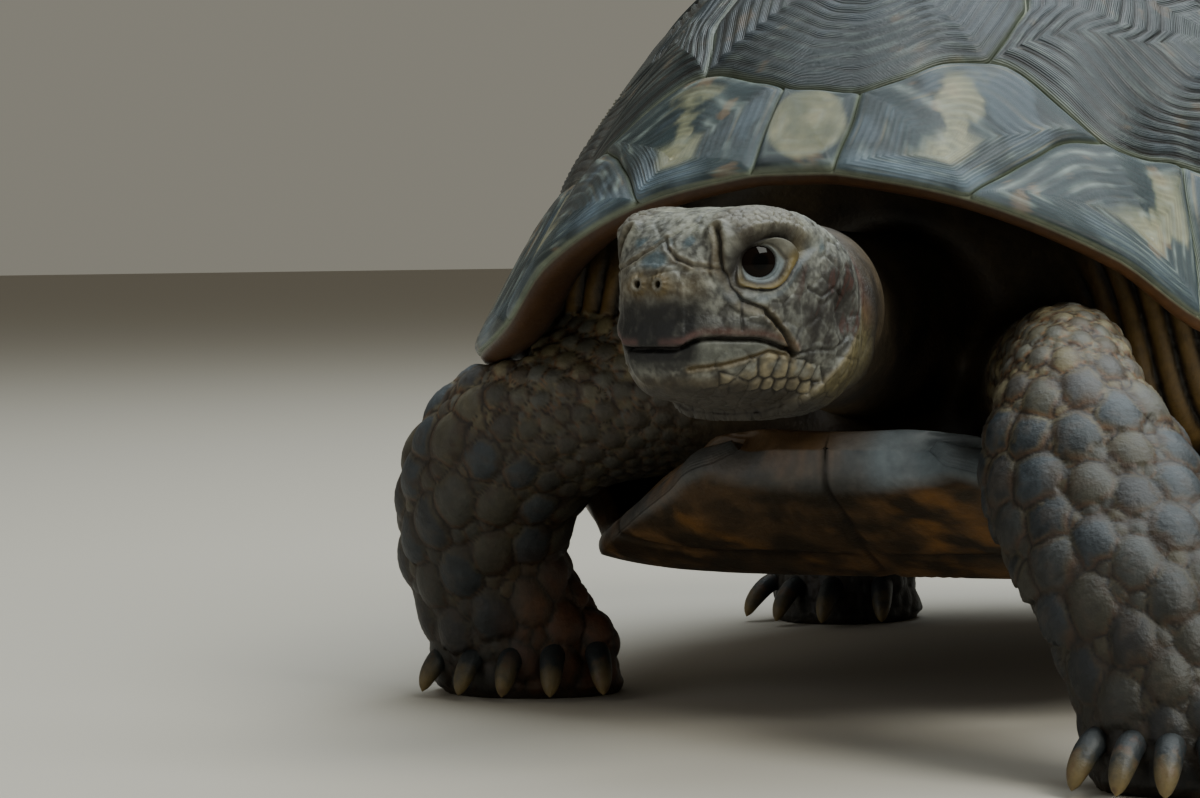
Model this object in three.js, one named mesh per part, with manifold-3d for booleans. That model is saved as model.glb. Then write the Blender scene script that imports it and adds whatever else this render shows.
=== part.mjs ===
// An adult spur-thighed tortoise in mid stride, life size, as a still model.
// Millimetres. +Z is up, the tortoise faces -Y and its left side is +X. The floor is z = 0.
import * as THREE from 'three';
import { mergeVertices } from 'three/addons/utils/BufferGeometryUtils.js';
import Module from 'manifold-3d';

const wasm = await Module();
wasm.setup();

// ---------------------------------------------------------------- driving sizes
const SHELL_LENGTH = 190; // straight length of the carapace
const SHELL_WIDTH = 140;
const SHELL_TOP = 118; // floor to the top of the dome
const SHELL_THICK = 4.5;
const OUTLINE_POWER = 2.4; // superellipse power of the outline seen from above
const GAP = 0.3; // between pieces that touch

// round one half of the carapace: degrees from the front, height of the edge, power of the fall to it
const EDGE = [
  [0, 71, 2], [5, 70.8, 2], [18, 67.3, 2.05], [31, 60, 2.1], [39, 52.3, 2.1], [48, 48.7, 2.15],
  [60, 46.8, 2.2], [90, 43.5, 2.3], [122, 42, 2.5], [150, 40.5, 2.8], [166, 38, 3], [180, 36, 3],
];
// where the ring of marginal plates starts, from crown 0 to edge 1
const COLLAR = [
  [0, 0.884], [4.5, 0.884], [18.5, 0.82], [31, 0.872], [41, 0.85], [56, 0.845], [90, 0.86],
  [128, 0.875], [180, 0.88],
];
// seams between the nuchal, the eleven marginals of a side and the plate over the tail:
// degrees at the edge, degrees at the collar
const MARGINAL_SEAMS = [
  [4.3, 4.5], [17.5, 31], [38.6, 41], [55, 57], [71, 72], [86, 87], [101, 101], [115, 115],
  [128, 127], [141, 139], [153, 151], [165, 164],
];
const COSTAL_SEAMS = [18.5, 78, 105, 132, 154]; // where the seams of the big plates meet the collar
const RING_STEP = 8; // degrees, longest step round the ring
const SEAM_STEP = 0.13; // longest step along a seam, in fractions of the radius
const VERTEBRAL_SEAMS = [[0.25, -0.54], [0.25, -0.2], [0.25, 0.13], [0.22, 0.44]];
const VERTEBRAL_CORNERS = [[0.35, -0.37], [0.36, -0.03], [0.33, 0.29]];
const FIRST_CORNER = [0.295, -0.66]; // the widest place of the first vertebral plate

const GULAR_TIP = -86; // front of the plastron
const PLASTRON_HEIGHT = 18; // floor to its underside

const HEAD_TURN = 15.5; // degrees, towards the right
const HEAD_PLACE = [4.3, -124.7, 0]; // middle of the head, over the floor
const EYE_PLACE = [5.8, 5.7, 60.3]; // middle of the eyeball: forwards, outwards, up
const EYE_RADIUS = 4.3;
const EYE_OPENING = [7.6, 5.6]; // between the corners, between the lids
const EYE_FORWARDS = 20; // degrees that the eye looks ahead of straight out
const EYE_TILT = 20; // degrees, the front corner of the eye low
const LID_THICK = 0.8;
// places on the head: outwards, forwards, up; and half sizes: across, lengthways, up
const BROW = { place: [7.2, 5.4, 63.9], half: [2.9, 6, 2.2] }; // the bump over the eye
const NOSTRIL = { place: [1.8, 15.9, 58], half: [1.3, 1.2, 1.3], hole: [0.6, 1.5, 0.6] };
const EAR_DRUM = { place: [12.5, -4.2, 54.5], half: [1.4, 2.7, 2.9] };
const MOUTH_CORNER = [4.5, 50.2]; // forwards, up
const BEAK_EDGE = [0.35, 1.6]; // how far the horny edge stands out, how high it is

const CLAW_LENGTH = 7.3;
// along a claw: share of its length, height over the floor, width
const CLAW_STATIONS = [[0, 6.4, 3.8], [0.42, 5.5, 3.6], [0.78, 3.3, 2.9], [1, 1, 0.9]];
const CLAW_FAN = 26; // degrees that the outer claws point away from the middle one
const SCALE_SUNK = 0.3; // how far the middle of a raised scale lies under the limb's surface
const FOREARM_SCALE = { long: 7.8, broad: 6, thick: 1.4, lift: 0.16 };
const HEEL_SCALE = { long: 6.5, broad: 4.6, thick: 1.5, lift: 0.3 };
const THIGH_SPUR = { long: 7, broad: 5, thick: 3.4, lift: 0.7 };

// ---------------------------------------------------------------- helpers
const DEG = Math.PI / 180;
const { lerp, clamp, smoothstep } = THREE.MathUtils;

/** Reads rows of [place, value, ...] at a place, along smooth curves through the rows. */
function read(rows, place) {
  const last = rows.length - 1;
  const i = clamp(rows.findIndex((row) => row[0] > place) - 1, 0, last - 1);
  const at = place >= rows[last][0] ? last - 1 : Math.max(i, 0);
  const [r0, r1, r2, r3] = [Math.max(at - 1, 0), at, at + 1, Math.min(at + 2, last)].map((k) => rows[k]);
  const span = r2[0] - r1[0];
  const t = clamp((place - r1[0]) / span, 0, 1);
  return r1.slice(1).map((value, k) => {
    const next = r2[k + 1];
    const slopeIn = ((next - r0[k + 1]) / (r2[0] - r0[0])) * span;
    const slopeOut = ((r3[k + 1] - value) / (r3[0] - r1[0])) * span;
    const bend = t * t * (3 - 2 * t);
    return value + (next - value) * bend
      + slopeIn * t * (1 - t) * (1 - t) - slopeOut * t * t * (1 - t);
  });
}

/** A manifold solid from a closed geometry, turned the right way out. */
function solid(geometry) {
  const bare = geometry.index ? geometry.clone() : geometry;
  bare.deleteAttribute('normal');
  bare.deleteAttribute('uv');
  const merged = mergeVertices(bare);
  const points = merged.attributes.position.array;
  const faces = Uint32Array.from(merged.index.array);
  const [a, b, c] = [new THREE.Vector3(), new THREE.Vector3(), new THREE.Vector3()];
  let volume = 0;
  for (let i = 0; i < faces.length; i += 3) {
    a.fromArray(points, faces[i] * 3);
    b.fromArray(points, faces[i + 1] * 3);
    c.fromArray(points, faces[i + 2] * 3);
    volume += a.dot(b.cross(c));
  }
  if (volume < 0) {
    for (let i = 0; i < faces.length; i += 3) {
      [faces[i], faces[i + 1]] = [faces[i + 1], faces[i]];
    }
  }
  return new wasm.Manifold(new wasm.Mesh({
    numProp: 3,
    vertProperties: Float32Array.from(points),
    triVerts: faces,
  }));
}

/** The largest closed surface of a solid, as a geometry. */
function largest(body) {
  const pieces = body.decompose();
  const sizes = pieces.map((piece) => Math.abs(piece.volume()));
  const mesh = pieces[sizes.indexOf(Math.max(...sizes))].getMesh();
  const geometry = new THREE.BufferGeometry();
  geometry.setAttribute('position', new THREE.BufferAttribute(Float32Array.from(mesh.vertProperties), 3));
  geometry.setIndex(new THREE.BufferAttribute(Uint32Array.from(mesh.triVerts), 1));
  geometry.computeVertexNormals();
  return geometry;
}

/** A closed skin of rows of rings between two poles: place(row, angle) gives each point. */
function wrap(rows, around, place) {
  const geometry = new THREE.SphereGeometry(1, around, rows);
  const position = geometry.attributes.position;
  for (let row = 0; row <= rows; row += 1) {
    for (let step = 0; step <= around; step += 1) {
      const point = place(row, (step % around) * ((2 * Math.PI) / around));
      position.setXYZ(row * (around + 1) + step, point.x, point.y, point.z);
    }
  }
  return solid(geometry);
}

/** A limb at t, from root 0 to end 1: its middle, its half sizes and the directions along, out and ahead. */
function limbSection({ stations, across }, t) {
  const path = new THREE.CatmullRomCurve3(stations.map(([x, y, z]) => new THREE.Vector3(x, y, z)));
  const girths = stations.map(([, , , wide, deep], i) => [i / (stations.length - 1), wide / 2, deep / 2]);
  const [wide, deep] = read(girths, t);
  const along = path.getTangent(t);
  const side = new THREE.Vector3(...across);
  const out = side.addScaledVector(along, -side.dot(along)).normalize();
  const ahead = new THREE.Vector3().crossVectors(along, out);
  return { middle: path.getPoint(t), wide, deep, along, out, ahead };
}

/** A tube with rounded ends through stations of [x, y, z, width, depth]. */
function limb(spec, grow = 0) {
  const { around = 12, rows = 16, round = 0.5 } = spec;
  const capRows = 3;
  const sections = Array.from({ length: rows + 1 }, (_, row) => (
    limbSection(spec, clamp((row - capRows) / (rows - 2 * capRows), 0, 1))));
  return wrap(rows, around, (row, angle) => {
    const { middle, wide, deep, along, out, ahead } = sections[row];
    const rise = Math.min(Math.min(row, rows - row) / capRows, 1) * 90 * DEG;
    const reach = Math.cos(rise) * (Math.min(wide, deep) * 2 * round + grow) * (row < rows / 2 ? -1 : 1);
    return middle.clone().addScaledVector(along, reach)
      .addScaledVector(out, Math.cos(angle) * Math.sin(rise) * (wide + grow))
      .addScaledVector(ahead, Math.sin(angle) * Math.sin(rise) * (deep + grow));
  });
}

/** A raised scale on a limb, at t along it and at an angle from its out side, its far end lifted. */
function limbScale(spec, t, angle, { long, broad, thick, lift }) {
  const { middle, wide, deep, along, out, ahead } = limbSection(spec, t);
  const place = middle.clone().addScaledVector(out, Math.cos(angle) * (wide - SCALE_SUNK))
    .addScaledVector(ahead, Math.sin(angle) * (deep - SCALE_SUNK));
  const up = out.clone().multiplyScalar(Math.cos(angle) / wide)
    .addScaledVector(ahead, Math.sin(angle) / deep).normalize();
  const lengthways = along.clone().addScaledVector(up, lift - along.dot(up)).normalize();
  const across = new THREE.Vector3().crossVectors(lengthways, up).normalize();
  const normal = new THREE.Vector3().crossVectors(across, lengthways);
  const geometry = new THREE.SphereGeometry(1, 6, 3);
  geometry.rotateX(Math.PI / 2);
  geometry.scale(broad / 2, long / 2, thick);
  geometry.applyMatrix4(new THREE.Matrix4().makeBasis(across, lengthways, normal).setPosition(place));
  return solid(geometry);
}

/** A ball or egg of few sides. */
function egg(centre, radii, around = 12, rows = 8) {
  const geometry = new THREE.SphereGeometry(1, around, rows);
  geometry.scale(...radii);
  geometry.translate(...centre);
  return solid(geometry);
}

const floorBlock = solid(new THREE.BoxGeometry(600, 600, 60).translate(0, 0, -30));

const parts = new THREE.Group();

function addPart(name, body, { colour, roughness }) {
  const material = new THREE.MeshStandardMaterial({ color: colour, roughness, metalness: 0 });
  const mesh = new THREE.Mesh(largest(body), material);
  mesh.name = name;
  parts.add(mesh);
}

const HORN_SHELL = { colour: 0x4a5357, roughness: 0.42 };
const PLASTRON_HORN = { colour: 0x5b4c33, roughness: 0.4 };
const SKIN = { colour: 0x8d8378, roughness: 0.7 };
const SCALED_SKIN = { colour: 0x75726d, roughness: 0.6 };
const CLAW_HORN = { colour: 0x5a5148, roughness: 0.45 };
const EYE = { colour: 0x14100d, roughness: 0.08 };

// ---------------------------------------------------------------- carapace
const polar = (degrees, s) => [s * Math.sin(degrees * DEG), -s * Math.cos(degrees * DEG)];
const snap = (value) => Math.round(value * 1e6) / 1e6;

/** A point of the smooth dome: (0, 0) is the crown, radius 1 the edge, -b the front. */
function domePoint(a, b, { sideInset = 0, endInset = 0, drop = 0 } = {}) {
  const s = Math.min(Math.hypot(a, b), 1);
  const [ca, cb] = s > 1e-9 ? [a / s, b / s] : [0, -1];
  const [edgeHeight, power] = read(EDGE, Math.abs(Math.atan2(ca, -cb)) / DEG);
  const square = (Math.abs(ca) ** OUTLINE_POWER + Math.abs(cb) ** OUTLINE_POWER) ** (-1 / OUTLINE_POWER);
  return new THREE.Vector3(
    s * square * ca * (SHELL_WIDTH / 2 - sideInset),
    s * square * cb * (SHELL_LENGTH / 2 - endInset),
    lerp(SHELL_TOP - drop, edgeHeight, s ** power),
  );
}

/** A point of the outer surface, raised by lift along the surface's normal. */
function shellPoint([a, b], lift) {
  const step = 1e-3;
  const shrink = Math.hypot(a, b) > 1 - step ? 1 - 2 * step : 1;
  const here = domePoint(a * shrink, b * shrink);
  const alongA = domePoint(a * shrink + step, b * shrink).sub(here);
  const alongB = domePoint(a * shrink, b * shrink + step).sub(here);
  return domePoint(a, b).addScaledVector(alongA.cross(alongB).normalize(), lift);
}

/** Shared places round the shell in degrees, from -180 to 540: the given ones and even steps. */
function ringPlaces(given) {
  const fixed = [...new Set([0, ...given, 180])].sort((p, q) => p - q);
  const half = fixed.slice(0, -1).flatMap((from, i) => {
    const count = Math.ceil((fixed[i + 1] - from) / RING_STEP);
    return Array.from({ length: count }, (_, k) => lerp(from, fixed[i + 1], k / count));
  });
  const whole = [...half.slice(1).map((angle) => -angle).reverse(), ...half, 180];
  return [...whole, ...whole.map((angle) => angle + 360)];
}
const EDGE_PLACES = ringPlaces(MARGINAL_SEAMS.map(([atEdge]) => atEdge));
const COLLAR_PLACES = ringPlaces([...MARGINAL_SEAMS.map(([, atCollar]) => atCollar), ...COSTAL_SEAMS]);
const onCollar = (angle) => polar(angle, read(COLLAR, Math.abs(angle > 180 ? 360 - angle : angle))[0]);
const arc = (places, from, to) => places.filter((angle) => angle > from - 0.01 && angle < to + 0.01);
const edgeArc = (from, to) => arc(EDGE_PLACES, from, to).map((angle) => polar(angle, 1));
const collarArc = (from, to) => arc(COLLAR_PLACES, from, to).map(onCollar);

/** Points from p up to, but not including, q. */
function seam(p, q) {
  const count = Math.max(1, Math.round(Math.hypot(q[0] - p[0], q[1] - p[1]) / SEAM_STEP));
  return Array.from({ length: count }, (_, k) => [lerp(p[0], q[0], k / count), lerp(p[1], q[1], k / count)]);
}

const chain = (corners) => corners.slice(0, -1).flatMap((corner, i) => seam(corner, corners[i + 1]));
const outline = (corners) => chain([...corners, corners[0]]);
const mirrored = ([a, b]) => [-a, b];

/** The horn plates: the border of each, in the dome's own coordinates, and its oldest spot. */
const plates = (() => {
  const list = [];
  const marginal = ([fromEdge, fromCollar], [toEdge, toCollar], spotShare) => {
    const inner = collarArc(fromCollar, toCollar);
    const outer = edgeArc(fromEdge, toEdge).reverse();
    list.push({
      border: [
        ...inner.slice(0, -1), ...seam(inner.at(-1), outer[0]),
        ...outer.slice(0, -1), ...seam(outer.at(-1), inner[0]),
      ],
      spot: polar(lerp(fromEdge, toEdge, spotShare), 0.965),
    });
  };
  const flipped = (pair) => pair.map((angle) => -angle);
  MARGINAL_SEAMS.slice(0, -1).forEach((from, i) => {
    marginal(from, MARGINAL_SEAMS[i + 1], 0.8);
    marginal(flipped(MARGINAL_SEAMS[i + 1]), flipped(from), 0.2);
  });
  const [first, last] = [MARGINAL_SEAMS[0], MARGINAL_SEAMS.at(-1)];
  marginal(flipped(first), first, 0.5);
  marginal(last, last.map((angle) => 360 - angle), 0.5);

  const joints = COSTAL_SEAMS.map(onCollar);
  const [v1, v2, v3, v4] = VERTEBRAL_SEAMS;
  const [k2, k3, k4] = VERTEBRAL_CORNERS;
  const costals = [
    { ring: [0, 1], inner: [k2, v1, FIRST_CORNER], spot: [0.55, -0.42] },
    { ring: [1, 2], inner: [k3, v2, k2], spot: [0.6, -0.12] },
    { ring: [2, 3], inner: [k4, v3, k3], spot: [0.58, 0.2] },
    { ring: [3, 4], inner: [v4, k4], spot: [0.46, 0.5] },
  ];
  for (const { ring: [from, to], inner, spot } of costals) {
    const edge = collarArc(COSTAL_SEAMS[from], COSTAL_SEAMS[to]);
    const border = [...edge.slice(0, -1), ...chain([joints[to], ...inner, joints[from]])];
    list.push({ border, spot }, { border: border.map(mirrored), spot: mirrored(spot) });
  }
  const across = (p) => [p, mirrored(p)];
  const front = collarArc(-COSTAL_SEAMS[0], COSTAL_SEAMS[0]);
  const rear = collarArc(COSTAL_SEAMS.at(-1), 360 - COSTAL_SEAMS.at(-1));
  list.push({
    border: [...front.slice(0, -1),
      ...chain([joints[0], FIRST_CORNER, ...across(v1), mirrored(FIRST_CORNER), front[0]])],
    spot: [0, -0.66],
  });
  [[v1, k2, v2], [v2, k3, v3], [v3, k4, v4]].forEach(([top, corner, low]) => {
    list.push({
      border: outline([top, corner, low, mirrored(low), mirrored(corner), mirrored(top)]),
      spot: [0, (top[1] + low[1]) / 2],
    });
  });
  list.push({
    border: [...rear.slice(0, -1), ...chain([mirrored(joints.at(-1)), mirrored(v4), v4, rear[0]])],
    spot: [0, 0.66],
  });
  return list;
})();

// each plate rises from its seam in steps towards its oldest spot: share of the way out, lift
const PLATE_STEPS = [[1, 0], [0.9, 1.1], [0.5, 1.7]];
const PLATE_CROWN = 2.2;

/** The outer surface, closed below by the edge's underside and a sheet across the opening. */
function outerShell() {
  const points = [];
  const faces = [];
  const add = (vector) => points.push(vector.x, vector.y, vector.z) / 3 - 1;
  for (const { border, spot } of plates) {
    const rings = PLATE_STEPS.map(([share, lift]) => border.map(([a, b]) => add(shellPoint([
      snap(lerp(spot[0], a, share)), snap(lerp(spot[1], b, share))], lift))));
    const crown = add(shellPoint(spot, PLATE_CROWN));
    const area = border.reduce((sum, [a, b], i) => {
      const [c, d] = border[(i + 1) % border.length];
      return sum + a * d - b * c;
    }, 0);
    const face = (i, j, k) => (area > 0 ? faces.push(i, j, k) : faces.push(j, i, k));
    border.forEach((_, i) => {
      const next = (i + 1) % border.length;
      rings.slice(0, -1).forEach((ring, level) => {
        const above = rings[level + 1];
        face(ring[i], ring[next], above[next]);
        face(ring[i], above[next], above[i]);
      });
      face(rings.at(-1)[i], rings.at(-1)[next], crown);
    });
  }
  const edgeRings = underside(0).map((ring) => ring.map(add));
  const centre = add(new THREE.Vector3(0, 0, 70));
  edgeRings[0].forEach((_, i) => {
    const next = (i + 1) % edgeRings[0].length;
    edgeRings.slice(0, -1).forEach((ring, level) => {
      const inner = edgeRings[level + 1];
      faces.push(ring[next], ring[i], inner[next], ring[i], inner[i], inner[next]);
    });
    faces.push(edgeRings.at(-1)[next], edgeRings.at(-1)[i], centre);
  });
  const geometry = new THREE.BufferGeometry();
  geometry.setAttribute('position', new THREE.Float32BufferAttribute(points, 3));
  geometry.setIndex(faces);
  return solid(geometry);
}

const EDGE_RINGS = [[0, 0], [2, 1.2], [8.5, 0.4]]; // inwards from the edge, down
/** Rings from the edge inwards along the underside, lowered by sink. */
function underside(sink) {
  const angles = arc(EDGE_PLACES, -179.9, 180);
  return EDGE_RINGS.map(([inwards, down], level) => angles.map((angle) => {
    const [a, b] = polar(angle, 1).map(snap);
    const point = level ? domePoint(a, b) : shellPoint([a, b], sink ? 3 : 0);
    const plan = Math.hypot(point.x, point.y);
    const share = (plan - inwards) / plan;
    return new THREE.Vector3(point.x * share, point.y * share, point.z - down - sink);
  }));
}

/** A smooth dome inside the shell, carried down below the edge. */
function innerDome(clear, around = 24, domeRows = 8) {
  const size = { sideInset: 6 + clear, endInset: 7 + clear, drop: SHELL_THICK + clear };
  return wrap(domeRows + 2, around, (row, angle) => {
    const s = Math.min(row / domeRows, 1);
    const point = domePoint(s * Math.sin(angle), -s * Math.cos(angle), size);
    if (row > domeRows) point.z -= 44;
    return row === domeRows + 2 ? new THREE.Vector3(0, 0, -8) : point;
  });
}

/** What the plastron must stay clear of: the shell as a block, its underside lowered by the gap. */
function shellBlock() {
  const rings = underside(GAP);
  const around = rings[0].length;
  const domeRows = 6;
  return wrap(domeRows + rings.length, around, (row, angle) => {
    const step = Math.round((angle / (2 * Math.PI)) * around) % around;
    if (row > domeRows && row < domeRows + rings.length) return rings[row - domeRows][step];
    if (row === domeRows + rings.length) return new THREE.Vector3(0, 0, 70);
    if (row === domeRows) return rings[0][step];
    const rim = rings[0][step];
    const share = row / domeRows;
    return new THREE.Vector3(rim.x * share, rim.y * share, lerp(SHELL_TOP + 20, rim.z + 12, share));
  });
}

addPart('carapace', outerShell().subtract(innerDome(0)), HORN_SHELL);
// the shell's wall grown by the gap: what grows out from under it is cut clear of this
const shellWall = shellBlock().subtract(innerDome(GAP));

// ---------------------------------------------------------------- plastron
const PLASTRON_EDGE = [ // y, half width of the flat plate
  [-86, 14], [-83.5, 19.5], [-79, 24], [-72, 31.5], [-62, 40], [-50, 45.5], [-38, 48],
  [26, 47], [36, 41.5], [46, 38], [58, 35], [68, 30.5], [76, 24], [81, 16.5],
];
const PLASTRON_SEAMS = [-67, -41, -31, 22, 48];
const GROOVE = { deep: 0.8, half: 1.3 };
const BRIDGE = [-46, -36, 26, 36]; // the wings rise, stand full, fall
const PLATE_THICK = 4;
const NOSE_THICK = 8; // of the front end
const FLAT_SHARE = 0.7; // share of the way from the middle to the upper edge that lies flat
const RIM = { out: 1.2, up: 1.5, crown: 2.2 }; // the flat plate's own edge
const WING = { inset: 3, top: 46 }; // the wings end just inside and under the carapace's edge
const NOSE_RISE = { from: -58, high: 14.5, power: 1.25 };
const REAR_RISE = { from: 50, long: 30, high: 3 };
const REAR_NOTCH = { from: 62, long: 19, half: 13, deep: 9 };

/** Outer surface of the plastron: u from 0 at the middle to 1 at its upper edge. */
function plastronPoint(u, y, side) {
  const [half] = read(PLASTRON_EDGE, y);
  const wing = smoothstep(y, BRIDGE[0], BRIDGE[1]) * (1 - smoothstep(y, BRIDGE[2], BRIDGE[3]));
  const flat = Math.min(u / FLAT_SHARE, 1);
  const climb = Math.max((u - FLAT_SHARE) / (1 - FLAT_SHARE), 0);
  const edge = (1 - Math.abs(y / (SHELL_LENGTH / 2)) ** OUTLINE_POWER) ** (1 / OUTLINE_POWER);
  const wingEdge = (SHELL_WIDTH / 2) * edge - WING.inset;
  const nose = clamp((NOSE_RISE.from - y) / (NOSE_RISE.from - GULAR_TIP), 0, 1);
  const rear = clamp((y - REAR_RISE.from) / REAR_RISE.long, 0, 1);
  const floorLine = PLASTRON_HEIGHT + NOSE_RISE.high * nose ** NOSE_RISE.power + REAR_RISE.high * rear ** 2;
  const x = half * flat + lerp(RIM.out, wingEdge - half, wing) * climb ** lerp(1, 0.8, wing);
  const z = floorLine + RIM.crown * flat ** 5
    + lerp(RIM.up, WING.top - floorLine, wing) * climb ** lerp(1, 1.4, wing);
  const notch = REAR_NOTCH.deep * clamp(1 - x / REAR_NOTCH.half, 0, 1)
    * clamp((y - REAR_NOTCH.from) / REAR_NOTCH.long, 0, 1);
  return new THREE.Vector3(x * side, y - notch, z);
}

/** The plastron as one sheet: a grid of its outer face, and the same grid set inwards. */
function plastronSheet() {
  const ys = [...new Set([
    ...PLASTRON_SEAMS.flatMap((y) => [y - GROOVE.half, y, y + GROOVE.half]),
    -86, -83, -78, -72, -60, -50, -20, 0, 34, 60, 70, 77, 81,
  ])].sort((p, q) => p - q);
  const us = [0, 0.03, 0.35, 0.64, 0.73, 0.86, 1];
  const columns = [...us.slice(1).map((u) => -u).reverse(), ...us];
  const step = 0.01;
  const surface = (u, y, offset) => {
    const side = u < 0 ? -1 : 1;
    const size = Math.abs(u);
    const here = plastronPoint(size, y, side);
    const alongU = plastronPoint(Math.min(size, 1 - step) + step, y, side)
      .sub(plastronPoint(Math.min(size, 1 - step), y, side));
    const within = Math.min(y, 80);
    const alongY = plastronPoint(size, within + 1, side).sub(plastronPoint(size, within, side));
    const inwards = alongU.cross(alongY).normalize().multiplyScalar(side);
    const nearSeam = Math.min(...PLASTRON_SEAMS.map((line) => Math.abs(line - y)), size < 0.01 ? 0 : 9);
    const groove = offset === 0 && nearSeam < 0.5 ? GROOVE.deep : 0;
    return here.addScaledVector(inwards, offset + groove);
  };
  const points = [];
  const faces = [];
  const thick = (y) => lerp(PLATE_THICK, NOSE_THICK, smoothstep(-y, 62, 84));
  const grid = [0, 1].map((level) => ys.map((y) => columns.map((u) => {
    const p = surface(u, y, level * thick(y));
    return points.push(p.x, p.y, p.z) / 3 - 1;
  })));
  const quad = (a, b, c, d) => faces.push(a, b, c, a, c, d);
  for (let i = 0; i < ys.length - 1; i += 1) {
    for (let j = 0; j < columns.length - 1; j += 1) {
      const [bottom, top] = grid;
      quad(bottom[i][j], bottom[i + 1][j], bottom[i + 1][j + 1], bottom[i][j + 1]);
      quad(top[i][j], top[i][j + 1], top[i + 1][j + 1], top[i + 1][j]);
    }
  }
  const loop = [
    ...ys.slice(0, -1).map((_, i) => [i, 0]),
    ...columns.slice(0, -1).map((_, j) => [ys.length - 1, j]),
    ...ys.slice(1).map((_, i) => [ys.length - 1 - i, columns.length - 1]),
    ...columns.slice(1).map((_, j) => [0, columns.length - 1 - j]),
  ];
  loop.forEach(([i, j], k) => {
    const [m, n] = loop[(k + 1) % loop.length];
    quad(grid[0][i][j], grid[1][i][j], grid[1][m][n], grid[0][m][n]);
  });
  const geometry = new THREE.BufferGeometry();
  geometry.setAttribute('position', new THREE.Float32BufferAttribute(points, 3));
  geometry.setIndex(faces);
  return solid(geometry);
}

const plastron = plastronSheet().subtract(shellBlock());
addPart('plastron', plastron, PLASTRON_HORN);

// ---------------------------------------------------------------- head
const headFrame = new THREE.Matrix4().makeRotationZ(-HEAD_TURN * DEG).setPosition(...HEAD_PLACE);
const inHead = (body) => body.transform(headFrame.toArray());
// In the head's own frame x is left, -y is forwards and z is the height over the floor.
const HEAD_FORM = [ // forwards of the middle, top, bottom, half width, height of the widest line
  [-10.5, 62.6, 45, 9.6, 54], [-7, 64.6, 43.4, 11.5, 54], [-2.7, 65.9, 42.9, 12.2, 54],
  [2.3, 66.4, 43.4, 11.8, 54.5], [6.3, 66.6, 44.2, 10.8, 55.5], [9.3, 66.2, 44.7, 9.6, 56],
  [11.2, 65.3, 45, 8.5, 56], [13, 63.9, 45.2, 7.2, 56], [14.9, 62, 45.7, 5.7, 56],
  [16.1, 60.4, 46.8, 4.3, 56],
];
const HEAD_ENDS = { rear: 2.6, front: 0.9 }; // how far the rounded ends reach past the rows

/** The head without its features, grown all round or made slimmer. */
function headForm(grow, slim = 1) {
  const rows = 13;
  const first = HEAD_FORM[0][0];
  const last = HEAD_FORM.at(-1)[0];
  return wrap(rows, 18, (row, angle) => {
    const share = row / rows;
    const forwards = lerp(first, last, clamp((row - 2) / (rows - 4), 0, 1));
    const [top, bottom, half, middle] = read(HEAD_FORM, forwards);
    const end = Math.min(row, rows - row);
    const rise = Math.min(end / 2, 1) * 90 * DEG;
    const reach = Math.cos(rise) * (share < 0.5 ? -HEAD_ENDS.rear - grow : HEAD_ENDS.front + grow);
    const side = Math.cos(angle);
    const up = Math.sin(angle);
    const power = up > 0 ? 0.67 : 0.75;
    const x = Math.sign(side) * Math.abs(side) ** power * (half * slim + grow) * Math.sin(rise);
    const height = up > 0 ? top - middle + grow : middle - bottom + grow;
    const z = middle + Math.sign(up) * Math.abs(up) ** power * height * Math.sin(rise);
    return new THREE.Vector3(x, -(forwards + reach), z);
  });
}

/** The space under the mouth line, a profile pulled across the head. */
function mouthWedge(gap) {
  const shape = new THREE.Shape();
  shape.moveTo(-5 + gap, 30);
  shape.lineTo(MOUTH_CORNER[0] - 1 + gap, MOUTH_CORNER[1] - 1.4 - gap);
  shape.lineTo(MOUTH_CORNER[0] + gap, MOUTH_CORNER[1] - gap);
  shape.quadraticCurveTo(11, 54 - gap, 17, 50 - gap);
  shape.lineTo(24, 49.6 - gap);
  shape.lineTo(24, 30);
  const geometry = new THREE.ExtrudeGeometry(shape, { depth: 60, bevelEnabled: false, curveSegments: 5 });
  // profile x runs forwards, profile y up; the pull goes across the head
  geometry.applyMatrix4(new THREE.Matrix4().set(
    0, 0, 1, -30,
    -1, 0, 0, 0,
    0, 1, 0, 0,
    0, 0, 0, 1,
  ));
  return solid(geometry);
}

const SIDES = { left: 1, right: -1 };
/** An egg whose long axis, across the head, is turned to look out, forwards and up as the eye does. */
function eyeEgg(side, outwards, radii, around, rows) {
  const [forwards, out, up] = EYE_PLACE;
  const geometry = new THREE.SphereGeometry(1, around, rows);
  geometry.applyMatrix4(new THREE.Matrix4().makeScale(...radii));
  geometry.translate(outwards, 0, 0);
  geometry.applyMatrix4(new THREE.Matrix4().makeRotationX(EYE_TILT * DEG)
    .premultiply(new THREE.Matrix4().makeRotationZ(-EYE_FORWARDS * DEG)));
  geometry.applyMatrix4(new THREE.Matrix4().makeScale(side, 1, 1));
  geometry.translate(side * out, -forwards, up);
  return solid(geometry);
}

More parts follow.
